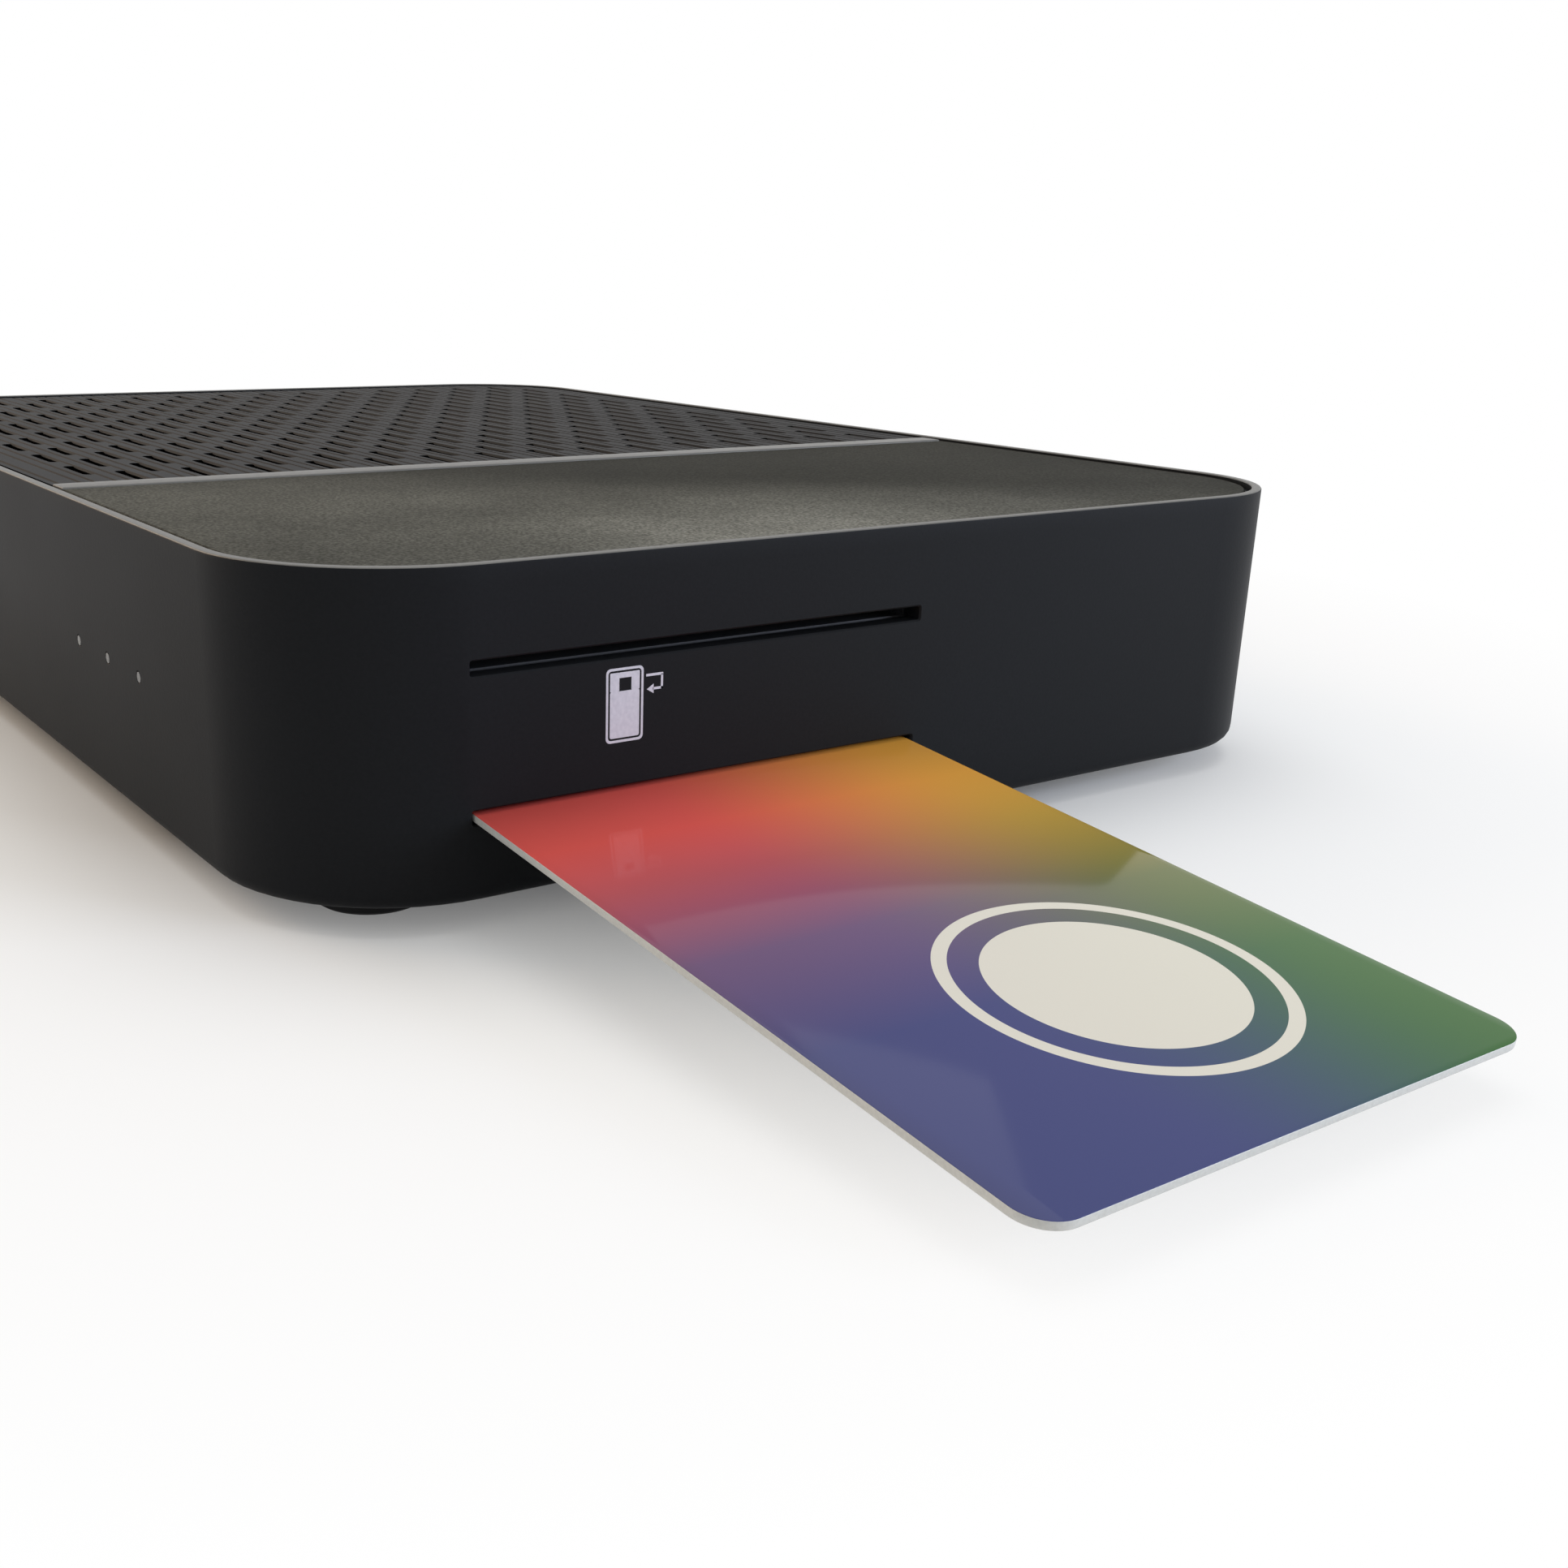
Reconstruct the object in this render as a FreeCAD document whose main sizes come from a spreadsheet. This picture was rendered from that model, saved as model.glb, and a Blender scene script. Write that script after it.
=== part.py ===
import FreeCAD, Part
import os
import re
import Sketcher

# Satellite receiver with two smart card slots, modelled as it comes apart on a bench.
# The frame: X runs to the card side, Y to the rear, Z up. The origin is the middle of the underside.
# All sizes are in millimetres.
SIZES = {
    # Housing, from the outer faces inwards
    "body_width": 205.0,
    "body_depth": 141.0,
    "body_height": 32.4,
    "corner_round": 19.5,
    "wall": 2.2,
    "bottom_bevel": 1.1,
    "trim_width": 1.7,
    "trim_bevel": 0.3,
    "plate_gap": 0.35,
    "plate_drop": 0.3,
    "plate_thickness": 1.6,
    "ledge_width": 5.0,
    "ledge_thickness": 1.6,
    "rib_thickness": 1.6,
    # Top plates
    "divider_width": 4.0,
    "divider_from_side": 71.1,
    "divider_drop": 0.12,
    "joint_gap": 0.1,
    "vent_length": 9.8,
    "vent_width": 1.5,
    "vent_pitch": 15.0,
    "vent_row_pitch": 4.24,
    "vent_edge": 0.8,
    "vent_margin": 4.5,
    # Card slots in the side wall
    "slot_width": 54.6,
    "slot_opening": 1.47,
    "slot_from_front": 45.4,
    "upper_slot_from_top": 9.54,
    "lower_slot_from_top": 23.8,
    # Smart card, chip side down
    "card_length": 85.6,
    "card_width": 53.98,
    "card_thickness": 0.76,
    "card_corner": 3.18,
    "card_inserted": 12.5,
    "card_travel": 60.0,
    "card_rake": 5.2,
    "card_lift": 0.12,
    "chip_length": 13.0,
    "chip_width": 11.8,
    "chip_corner": 2.0,
    "chip_thickness": 0.18,
    "chip_from_end": 15.0,
    "chip_from_middle": 3.1,
    "chip_gap": 0.1,
    # Card readers
    "reader_width": 57.0,
    "reader_floor": 1.2,
    "reader_cover": 1.0,
    "channel_width": 54.6,
    "channel_height": 1.3,
    "reader_stop": 0.4,
    "reader_end_wall": 1.5,
    "reader_mouth_gap": 0.6,
    "window_length": 44.0,
    "window_width": 38.0,
    "contact_pitch": 2.54,
    "contact_row_gap": 7.62,
    "contact_width": 0.8,
    "contact_sheet": 0.15,
    "contact_length": 5.0,
    "contact_crest": 1.5,
    "contact_hook": 0.35,
    "contact_clear": 0.12,
    "lug_size": 6.0,
    "lug_thickness": 1.2,
    "lug_spacing": 34.0,
    "cheek_thickness": 2.0,
    "post_radius": 2.5,
    # Base cover, feet and case screws
    "cover_gap": 0.15,
    "cover_thickness": 2.0,
    "foot_from_side": 13.5,
    "foot_from_end": 13.7,
    "foot_radius": 6.0,
    "foot_drop": 2.6,
    "foot_step": 0.6,
    "foot_recess": 0.5,
    "foot_gap": 0.1,
    "pillar_radius": 2.8,
    "boss_radius": 4.6,
    "boss_rise": 2.4,
    "screw_head_radius": 2.7,
    "screw_head_thickness": 1.8,
    "screw_radius": 1.45,
    "screw_length": 12.0,
    "screw_gap": 0.08,
    "fit_gap": 0.05,
    "base_vent_length": 40.0,
    "base_vent_width": 2.2,
    "base_vent_pitch": 5.5,
    "base_vent_x": -40.0,
    # Main board
    "board_from_side": 5.3,
    "board_from_end": 2.3,
    "board_thickness": 1.6,
    "board_level": 4.6,
    "board_gap": 1.0,
    "standoff_radius": 3.2,
    "standoff_from_left": 22.5,
    "standoff_from_right": 42.5,
    "standoff_from_front": 11.5,
    "standoff_from_tuner": 4.8,
    "board_screw_radius": 1.2,
    "board_screw_length": 5.0,
    "board_head_radius": 2.5,
    "board_head_thickness": 1.7,
    # Parts on the main board
    "chip_size": 23.0,
    "chip_height": 2.2,
    "chip_x": -40.0,
    "chip_y": -8.0,
    "sink_size": 42.0,
    "sink_base": 2.4,
    "sink_fin_height": 9.0,
    "sink_fin": 1.4,
    "memory_length": 13.5,
    "memory_width": 9.0,
    "memory_height": 1.1,
    "memory_offset": 29.0,
    "capacitor_radius": 4.0,
    "capacitor_height": 12.0,
    "capacitor_pitch": 10.5,
    "capacitor_x": 44.0,
    "capacitor_from_standoff": 12.0,
    "coil_size": 7.0,
    "coil_height": 4.2,
    "coil_pitch": 11.0,
    "coil_x": -6.0,
    "coil_from_standoff": 6.0,
    # Front board with indicators
    "pipe_radius": 0.6,
    "pipe_flange_radius": 1.5,
    "pipe_flange": 1.0,
    "pipe_from_side": 49.9,
    "pipe_pitch": 10.5,
    "pipe_level": 16.2,
    "pipe_reach": 2.6,
    "lamp_depth": 0.8,
    "lamp_size": 1.8,
    "lamp_gap": 0.2,
    "front_board_length": 46.0,
    "front_board_height": 15.0,
    "front_board_thickness": 1.6,
    "header_length": 14.0,
    "header_size": 2.5,
    "header_offset": 8.0,
    "eye_width": 6.0,
    "eye_height": 6.5,
    "eye_depth": 2.4,
    "eye_offset": 18.5,
    # Rear panel and sockets, whose places across the rear are shares of the width
    "panel_margin": 1.0,
    "panel_height": 25.5,
    "panel_thickness": 1.0,
    "panel_lap": 2.0,
    "socket_inset": 0.5,
    "socket_gap": 0.25,
    "tuner_length": 40.0,
    "tuner_depth": 26.0,
    "tuner_height": 12.0,
    "tuner_share": -0.302,
    "aerial_radius": 4.76,
    "aerial_length": 11.0,
    "aerial_bore": 3.3,
    "aerial_core": 1.9,
    "aerial_core_bore": 0.55,
    "aerial_flange": 1.6,
    "aerial_flange_radius": 6.4,
    "aerial_floor": 2.0,
    "hdmi_share": -0.151,
    "hdmi_width": 15.0,
    "hdmi_height": 5.7,
    "hdmi_depth": 12.0,
    "hdmi_chamfer": 1.6,
    "hdmi_wall": 0.5,
    "hdmi_tongue": 0.9,
    "network_share": -0.054,
    "network_width": 16.0,
    "network_height": 13.4,
    "network_depth": 21.0,
    "network_opening_width": 11.8,
    "network_opening_height": 10.5,
    "network_opening_depth": 13.0,
    "network_latch_width": 6.2,
    "network_latch_height": 2.2,
    "network_floor": 2.0,
    "network_lip": 0.6,
    "usb_share": 0.044,
    "usb_width": 13.2,
    "usb_height": 5.9,
    "usb_depth": 14.0,
    "usb_wall": 0.4,
    "usb_tongue": 1.9,
    "optical_share": 0.122,
    "optical_width": 9.7,
    "optical_height": 10.0,
    "optical_depth": 13.5,
    "optical_opening": 6.9,
    "optical_cavity": 9.0,
    "shutter_thickness": 0.8,
    "shutter_gap": 0.25,
    "shutter_inset": 0.8,
    "shutter_pin": 0.45,
    "audio_share": 0.183,
    "audio_width": 7.6,
    "audio_height": 7.0,
    "audio_depth": 14.0,
    "audio_nose_radius": 3.0,
    "audio_nose": 2.0,
    "audio_bore": 1.8,
    "audio_bore_depth": 13.0,
    "power_share": 0.249,
    "power_width": 9.0,
    "power_height": 11.0,
    "power_depth": 14.0,
    "power_bore": 3.15,
    "power_pin": 1.0,
    "power_bore_depth": 9.5,
    "switch_share": 0.341,
    "switch_level": 15.0,
    "switch_width": 10.5,
    "switch_height": 15.0,
    "switch_bezel": 1.3,
    "switch_wall": 1.1,
    "switch_depth": 11.0,
    "switch_lap": 0.8,
    "rocker_gap": 0.35,
    "rocker_rise": 1.9,
    "rocker_dip": 0.85,
    "rocker_tilt": 10.0,
    "rocker_pivot_inset": 1.6,
    "rocker_depth": 3.2,
    "rocker_pin": 1.0,
    "rocker_pin_gap": 0.05,
}

doc = FreeCAD.newDocument("satellite_receiver")
sheet = doc.addObject("Spreadsheet::Sheet", "Sizes")
for row, (alias, size) in enumerate(SIZES.items(), start=1):
    sheet.set(f"A{row}", str(size))
    sheet.setAlias(f"A{row}", alias)
doc.recompute()

PATHS = {
    "x": "Placement.Base.x",
    "y": "Placement.Base.y",
    "z": "Placement.Base.z",
    "turn": "Placement.Rotation.Angle",
}
AXES = {
    "x": FreeCAD.Rotation(FreeCAD.Vector(0, 1, 0), 90),
    "y": FreeCAD.Rotation(FreeCAD.Vector(1, 0, 0), -90),
    "z": FreeCAD.Rotation(),
}
NODES = []

# Levels and places that several pieces share
SHELF = "(body_height - plate_drop - plate_thickness)"
LEDGE = f"({SHELF} - ledge_thickness)"
PLATE_EDGE = "(trim_width + plate_gap)"
DIVIDER_X = "(body_width / 2 - divider_from_side)"
BOARD_LENGTH = "(body_width - 2 * wall - 2 * board_from_side)"
BOARD_DEPTH = "(body_depth - 2 * wall - 2 * board_from_end)"
BOARD_TOP = "(board_level + board_thickness)"
PILLAR_X = "(body_width / 2 - foot_from_side)"
PILLAR_Y = "(body_depth / 2 - foot_from_end)"
BOSS_TOP = "(cover_thickness + boss_rise)"
SLOT_Y = "(slot_from_front - body_depth / 2)"
LOWER_SLOT = "(body_height - lower_slot_from_top)"
UPPER_SLOT = "(body_height - upper_slot_from_top)"
CARD_LEVEL = f"({LOWER_SLOT} - card_lift)"
INNER_REAR = "(body_depth / 2 - wall)"
INNER_FRONT = "(wall - body_depth / 2)"
SOCKET_FACE = "(body_depth / 2 - socket_inset)"
TUNER_FACE = f"({INNER_REAR} - panel_thickness - 2 * socket_gap)"
STANDOFF_LEFT = "(standoff_from_left - body_width / 2)"
STANDOFF_RIGHT = "(body_width / 2 - standoff_from_right)"
STANDOFF_FRONT = "(standoff_from_front - body_depth / 2)"
STANDOFF_REAR = f"({TUNER_FACE} - tuner_depth - standoff_from_tuner)"
PANEL_WIDTH = "(body_width - 2 * corner_round - 2 * panel_margin)"
PIPE_X = "(body_width / 2 - pipe_from_side)"
FRONT_BOARD_Y = f"({INNER_FRONT} + pipe_reach + lamp_gap + lamp_depth)"
READER_BACK = "(card_inserted + card_travel + reader_stop + reader_end_wall)"
READER_FRONT = "(wall + reader_mouth_gap)"
READER_HEIGHT = "(reader_floor + channel_height + reader_cover)"
READER_BOTTOM = "(0 - reader_floor - channel_height / 2)"
CHIP_X = "(chip_from_end - card_inserted - card_travel)"
SOCKETS = {
    name: f"({name}_share * body_width)"
    for name in ("tuner", "hdmi", "network", "usb", "optical", "audio", "power", "switch")
}


def cells(text):
    """Turn a sum of size names into an expression on the sheet's cells."""
    return re.sub(r"[a-z_]+", lambda word: f"Sizes.{word[0]}" if word[0] in SIZES else word[0], text)


def bind(piece, **sums):
    for name, text in sums.items():
        piece.setExpression(PATHS.get(name, name), cells(text))
    return piece


def block(name, length, width, height, x="0", y="0", z="0"):
    """A box that is centred on x and y and stands on z."""
    box = doc.addObject("Part::Box", name)
    return bind(
        box,
        Length=length,
        Width=width,
        Height=height,
        x=f"{x} - ({length}) / 2",
        y=f"{y} - ({width}) / 2",
        z=z,
    )


def rod(name, radius, height, x="0", y="0", z="0", axis="z", sides=0):
    """A round rod, or one of even sides for small parts that repeat and need few faces."""
    piece = doc.addObject("Part::Prism" if sides else "Part::Cylinder", name)
    piece.Placement = FreeCAD.Placement(FreeCAD.Vector(), AXES[axis])
    if not sides:
        return bind(piece, Radius=radius, Height=height, x=x, y=y, z=z)
    piece.Polygon = sides
    return bind(piece, Circumradius=radius, Height=height, x=x, y=y, z=z)


def cut(name, base, *tools):
    piece = doc.addObject("Part::Cut", name)
    piece.Base = base
    piece.Tool = tools[0] if len(tools) == 1 else fuse(f"{name}_tools", *tools)
    return piece


def fuse(name, *pieces):
    joined = doc.addObject("Part::MultiFuse", name)
    joined.Shapes = list(pieces)
    return joined


def group(name, pieces):
    """Separate solids that are kept together as one node."""
    together = doc.addObject("Part::Compound", name)
    together.Links = list(pieces)
    return together


def rounded(name, length, width, height, radius, x="0", y="0", z="0", edges=(1, 3, 5, 7)):
    """A plate or box with upright edges rounded, centred on x and y and standing on z."""
    body = doc.addObject("PartDesign::Body", name)
    blank = body.newObject("PartDesign::AdditiveBox", f"{name}_blank")
    bind(blank, Length=length, Width=width, Height=height)
    doc.recompute()
    corners = body.newObject("PartDesign::Fillet", f"{name}_corners")
    corners.Base = (blank, [f"Edge{edge}" for edge in edges])
    bind(corners, Radius=radius)
    doc.recompute()
    return bind(body, x=f"{x} - ({length}) / 2", y=f"{y} - ({width}) / 2", z=z)


def bevel_face(body, name, size, upwards):
    """Bevel the outline of a body's top or bottom face."""
    tip = body.Tip
    ends = [face.CenterOfMass.z for face in tip.Shape.Faces]
    level = max(ends) if upwards else min(ends)
    rim = [face for face in tip.Shape.Faces if abs(face.CenterOfMass.z - level) < 1e-6][0]
    outline = [
        f"Edge{number}"
        for number, edge in enumerate(tip.Shape.Edges, start=1)
        if any(edge.isSame(other) for other in rim.OuterWire.Edges)
    ]
    bevel = body.newObject("PartDesign::Chamfer", name)
    bevel.Base = (tip, outline)
    bind(bevel, Size=size)
    doc.recompute()
    return body


def prism(name, points, width, x="0", y="0", z="0", plane="YZ_Plane"):
    """A profile of straight sides, padded evenly to both sides of its plane."""
    body = doc.addObject("PartDesign::Body", name)
    planes = {part.Role: part for part in body.Origin.OriginFeatures}
    sketch = body.newObject("Sketcher::SketchObject", f"{name}_profile")
    sketch.AttachmentSupport = [(planes[plane], "")]
    sketch.MapMode = "FlatFace"
    spots = [(sheet_sum(across), sheet_sum(up)) for across, up in points]
    for number, (across, up) in enumerate(spots):
        after = spots[(number + 1) % len(spots)]
        side = Part.LineSegment(FreeCAD.Vector(across, up, 0), FreeCAD.Vector(*after, 0))
        sketch.addGeometry(side, False)
    for number in range(len(points)):
        sketch.addConstraint(Sketcher.Constraint("Coincident", number, 2, (number + 1) % len(points), 1))
    for number, (across, up) in enumerate(points):
        for kind, text, value in (("DistanceX", across, spots[number][0]), ("DistanceY", up, spots[number][1])):
            index = sketch.addConstraint(Sketcher.Constraint(kind, -1, 1, number, 1, value))
            sketch.setExpression(f"Constraints[{index}]", cells(text))
    doc.recompute()
    pad = body.newObject("PartDesign::Pad", f"{name}_pad")
    pad.Profile = sketch
    pad.Midplane = True
    bind(pad, Length=width)
    doc.recompute()
    return bind(body, x=x, y=y, z=z)


def sheet_sum(text):
    """The present value of a sum of size names."""
    return float(sheet.evalExpression(cells(text)))


def tilt(piece, angle):
    """Turn a piece about the Y axis through its own origin, by a size of the sheet."""
    piece.Placement = FreeCAD.Placement(FreeCAD.Vector(), FreeCAD.Rotation(FreeCAD.Vector(0, 1, 0), 1))
    return bind(piece, turn=angle)


def node(piece, label):
    piece.Label = label
    NODES.append(piece)
    return piece


def pillar_places():
    """The four places near the corners where pillars, screws and feet share an axis."""
    for side, across in (("left", f"0 - {PILLAR_X}"), ("right", PILLAR_X)):
        for end, along in (("front", f"0 - {PILLAR_Y}"), ("rear", PILLAR_Y)):
            yield f"{side}_{end}", across, along


def standoff_places():
    for side, across in (("left", STANDOFF_LEFT), ("right", STANDOFF_RIGHT)):
        for end, along in (("front", STANDOFF_FRONT), ("rear", STANDOFF_REAR)):
            yield f"{side}_{end}", across, along


# Housing: one moulded shell with a ledge for the top plates and ribbed screw pillars
def pillar_with_ribs(place, across, along):
    height = f"{LEDGE} - {BOSS_TOP}"
    pillar = rod(f"pillar_{place}", "pillar_radius", height, across, along, BOSS_TOP, sides=12)
    outward_x = "1" if "right" in place else "-1"
    outward_y = "1" if "rear" in place else "-1"
    reach_x = "(foot_from_side - wall)"
    reach_y = "(foot_from_end - wall)"
    side_rib = block(
        f"side_rib_{place}",
        reach_x,
        "rib_thickness",
        height,
        f"({across} + {outward_x} * {reach_x} / 2)",
        f"({along})",
        BOSS_TOP,
    )
    end_rib = block(
        f"end_rib_{place}",
        "rib_thickness",
        reach_y,
        height,
        f"({across})",
        f"({along} + {outward_y} * {reach_y} / 2)",
        BOSS_TOP,
    )
    return pillar, side_rib, end_rib


def pipe_places():
    for number in range(3):
        yield number, f"({PIPE_X} + {number - 1} * pipe_pitch)"


def housing_shell():
    outer = rounded("shell_outer", "body_width", "body_depth", SHELF, "corner_round")
    bevel_face(outer, "shell_bottom_bevel", "bottom_bevel", upwards=False)
    inner_x = "body_width - 2 * wall"
    inner_y = "body_depth - 2 * wall"
    cavity = rounded("shell_cavity", inner_x, inner_y, f"{LEDGE} + wall", "corner_round - wall", z="0 - wall")
    mouth_x = f"({inner_x} - 2 * ledge_width)"
    mouth_y = f"({inner_y} - 2 * ledge_width)"
    mouth_z = "ledge_thickness + 2 * wall"
    mouth_corner = "corner_round - wall - ledge_width"
    mouth = rounded("shell_mouth", mouth_x, mouth_y, mouth_z, mouth_corner, z=f"{LEDGE} - wall")
    hollow = cut("shell_walls", outer, cavity, mouth)
    pillars = [part for place in pillar_places() for part in pillar_with_ribs(*place)]
    solid = fuse("shell_with_pillars", hollow, *pillars)
    slot = ("4 * wall", "slot_width", "slot_opening", "body_width / 2", SLOT_Y)
    slots = [
        block(f"{name}_slot", *slot, f"{level} - slot_opening / 2")
        for name, level in (("lower", LOWER_SLOT), ("upper", UPPER_SLOT))
    ]
    window = block(
        "rear_window",
        f"{PANEL_WIDTH} - 2 * panel_lap",
        "4 * wall",
        "(panel_height - 2 * panel_lap)",
        "0",
        "body_depth / 2",
        "cover_thickness + panel_lap",
    )
    front = "0 - body_depth / 2 - wall"
    holes = [
        rod(f"lamp_hole_{number}", "pipe_radius + fit_gap", "4 * wall", x, front, "pipe_level", "y", sides=8)
        for number, x in pipe_places()
    ]
    threads = [
        rod(f"pillar_bore_{name}", "screw_radius + fit_gap", "screw_length + wall", x, y, BOSS_TOP, sides=8)
        for name, x, y in pillar_places()
    ]
    return node(cut("shell", solid, *slots, window, *holes, *threads), "housing_shell")


def trim_ring():
    height = "plate_drop + plate_thickness"
    outer = rounded("ring_outer", "body_width", "body_depth", height, "corner_round", z=SHELF)
    bevel_face(outer, "ring_top_bevel", "trim_bevel", upwards=True)
    inner_x = "body_width - 2 * trim_width"
    inner_y = "body_depth - 2 * trim_width"
    inner = rounded("ring_inner", inner_x, inner_y, "body_height", "corner_round - trim_width", z=LEDGE)
    return node(cut("ring", outer, inner), "trim_ring")


# Top plates: a slotted vent grille and a smooth plate, parted by a strip
def smooth_top():
    length = f"(divider_from_side - divider_width / 2 - joint_gap - {PLATE_EDGE})"
    middle = f"(body_width / 2 - {PLATE_EDGE} - {length} / 2)"
    depth = f"(body_depth - 2 * {PLATE_EDGE})"
    radius = f"corner_round - {PLATE_EDGE}"
    plate = rounded("smooth_plate", length, depth, "plate_thickness", radius, x=middle, z=SHELF, edges=(5, 7))
    return node(plate, "smooth_top_plate")


def divider():
    depth = f"(body_depth - 2 * {PLATE_EDGE})"
    height = "plate_thickness + plate_drop - divider_drop"
    strip = block("strip", "divider_width", depth, height, x=DIVIDER_X, z=SHELF)
    return node(strip, "divider_strip")


def vent_grille():
    """Staggered rows of slots: a pair of slots is cut once and patterned both ways over the plate."""
    length = f"(body_width - divider_from_side - divider_width / 2 - joint_gap - {PLATE_EDGE})"
    middle = f"({PLATE_EDGE} - body_width / 2 + {length} / 2)"
    depth = f"(body_depth - 2 * {PLATE_EDGE})"
    radius = f"corner_round - {PLATE_EDGE}"
    body = rounded("grille", length, depth, "plate_thickness", radius, x=middle, z=SHELF, edges=(1, 3))
    solid = body.Shape.Volume
    columns = f"floor(({length} - vent_margin) / vent_pitch)"
    row_pairs = f"floor(({depth} - 2 * vent_margin) / (2 * vent_row_pitch))"
    span_x = f"({columns} * vent_pitch - vent_pitch / 2 + vent_length)"
    span_y = f"((2 * {row_pairs} - 1) * vent_row_pitch)"
    first_x = f"({length} - vent_edge - {span_x})"
    first_y = f"({depth} / 2 - {span_y} / 2 - vent_width / 2)"
    pair = []
    for name, shift_x, shift_y in (("first", "0", "0"), ("second", "vent_pitch / 2", "vent_row_pitch")):
        slot = body.newObject("PartDesign::SubtractiveBox", f"{name}_vent")
        bind(slot, Length="vent_length", Width="vent_width", Height="plate_thickness")
        bind(slot, x=f"{first_x} + {shift_x}", y=f"{first_y} + {shift_y}")
        pair.append(slot)
    doc.recompute()
    planes = {part.Role: part for part in body.Origin.OriginFeatures}
    rows = body.newObject("PartDesign::MultiTransform", "vent_rows")
    rows.Originals = pair
    across = body.newObject("PartDesign::LinearPattern", "vents_across")
    across.Direction = (planes["X_Axis"], [""])
    bind(across, Length=f"({columns} - 1) * vent_pitch", Occurrences=columns)
    along = body.newObject("PartDesign::LinearPattern", "vents_along")
    along.Direction = (planes["Y_Axis"], [""])
    bind(along, Length=f"({row_pairs} - 1) * 2 * vent_row_pitch", Occurrences=row_pairs)
    rows.Transformations = [across, along]
    body.Tip = rows
    doc.recompute()
    one_slot = sheet_sum("vent_length * vent_width * plate_thickness")
    slots = sheet_sum(f"2 * {columns} * {row_pairs}")
    print("grille slots cut:", round((solid - body.Shape.Volume) / one_slot, 2), "of", slots)
    return node(body, "vent_grille")


# Base cover with bosses, vents, feet and the four case screws under the feet
def base_cover():
    length = "(body_width - 2 * wall - 2 * cover_gap)"
    depth = "(body_depth - 2 * wall - 2 * cover_gap)"
    plate = rounded("base_plate", length, depth, "cover_thickness", "corner_round - wall - cover_gap")
    bosses = [
        rod(f"boss_{name}", "boss_radius", BOSS_TOP, x, y, sides=12)
        for name, x, y in pillar_places()
    ]
    stands = [
        rod(f"stand_{name}", "standoff_radius", "board_level", x, y, sides=12)
        for name, x, y in standoff_places()
    ]
    solid = fuse("base_solid", plate, *bosses, *stands)
    tools = []
    for name, x, y in pillar_places():
        head_room = "foot_recess + screw_head_thickness + screw_gap"
        tools.append(rod(f"recess_{name}", "foot_radius + foot_gap", "foot_recess", x, y, sides=16))
        tools.append(rod(f"sink_{name}", "screw_head_radius + screw_gap", head_room, x, y, sides=12))
        tools.append(rod(f"clear_{name}", "screw_radius + screw_gap", f"{BOSS_TOP} + wall", x, y, sides=8))
    for name, x, y in standoff_places():
        bore = "board_screw_radius + fit_gap"
        bore_depth = "(board_screw_length - board_thickness + screw_gap)"
        bore_floor = f"board_level - {bore_depth}"
        tools.append(rod(f"stand_bore_{name}", bore, bore_depth, x, y, bore_floor, sides=8))
    vents = 11
    for number in range(vents):
        vent = block(
            f"base_vent_{number}",
            "base_vent_length",
            "base_vent_width",
            "3 * cover_thickness",
            "base_vent_x",
            f"({number} - ({vents} - 1) / 2) * base_vent_pitch",
            "0 - cover_thickness",
        )
        tools.append(vent)
    return node(cut("base", solid, *tools), "base_cover")


def rubber_feet():
    """Stepped rubber pads that are glued into the cover's recesses, over the screws."""
    feet = []
    for name, x, y in pillar_places():
        height = "foot_drop - foot_step + foot_recess"
        collar = rod(f"foot_collar_{name}", "foot_radius", height, x, y, "foot_step - foot_drop", sides=16)
        tread = ("foot_radius - foot_step", "2 * foot_step")
        sole = rod(f"foot_sole_{name}", *tread, x, y, "0 - foot_drop", sides=16)
        feet.append(fuse(f"foot_{name}", collar, sole))
    return node(group("feet", feet), "rubber_feet")


def screw(name, head_radius, head, radius, length, x, y, z, upwards):
    """A hexagon screw whose head's bearing face lies on z. Its shank goes up or down from there."""
    head_z = f"{z} - ({head})" if upwards else z
    shank_z = z if upwards else f"{z} - ({length})"
    cap = rod(f"{name}_head", head_radius, head, x, y, head_z, sides=6)
    shank = rod(f"{name}_shank", radius, length, x, y, shank_z, sides=8)
    return fuse(name, cap, shank)


def case_screws():
    screws = [
        screw(
            f"case_screw_{name}",
            "screw_head_radius",
            "screw_head_thickness",
            "screw_radius",
            "screw_length",
            x,
            y,
            "foot_recess + screw_head_thickness + screw_gap",
            upwards=True,
        )
        for name, x, y in pillar_places()
    ]
    return node(group("case_screw_group", screws), "case_screws")


# Main board and what is soldered to it
def main_board():
    """The board's corners are notched round the pillars."""
    plate = block("board_plate", BOARD_LENGTH, BOARD_DEPTH, "board_thickness", z="board_level")
    notch_x = f"2 * ({BOARD_LENGTH} / 2 - {PILLAR_X} + boss_radius + board_gap)"
    notch_y = f"2 * ({BOARD_DEPTH} / 2 - {PILLAR_Y} + boss_radius + board_gap)"
    below = "board_level - board_thickness"
    through = "3 * board_thickness"
    tools = []
    for side in (f"(0 - {BOARD_LENGTH} / 2)", f"({BOARD_LENGTH} / 2)"):
        for end in (f"(0 - {BOARD_DEPTH} / 2)", f"({BOARD_DEPTH} / 2)"):
            tools.append(block(f"board_notch_{len(tools)}", notch_x, notch_y, through, side, end, below))
    for name, x, y in standoff_places():
        tools.append(rod(f"board_hole_{name}", "board_screw_radius + fit_gap", through, x, y, below, sides=8))
    return node(cut("board", plate, *tools), "main_board")


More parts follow.
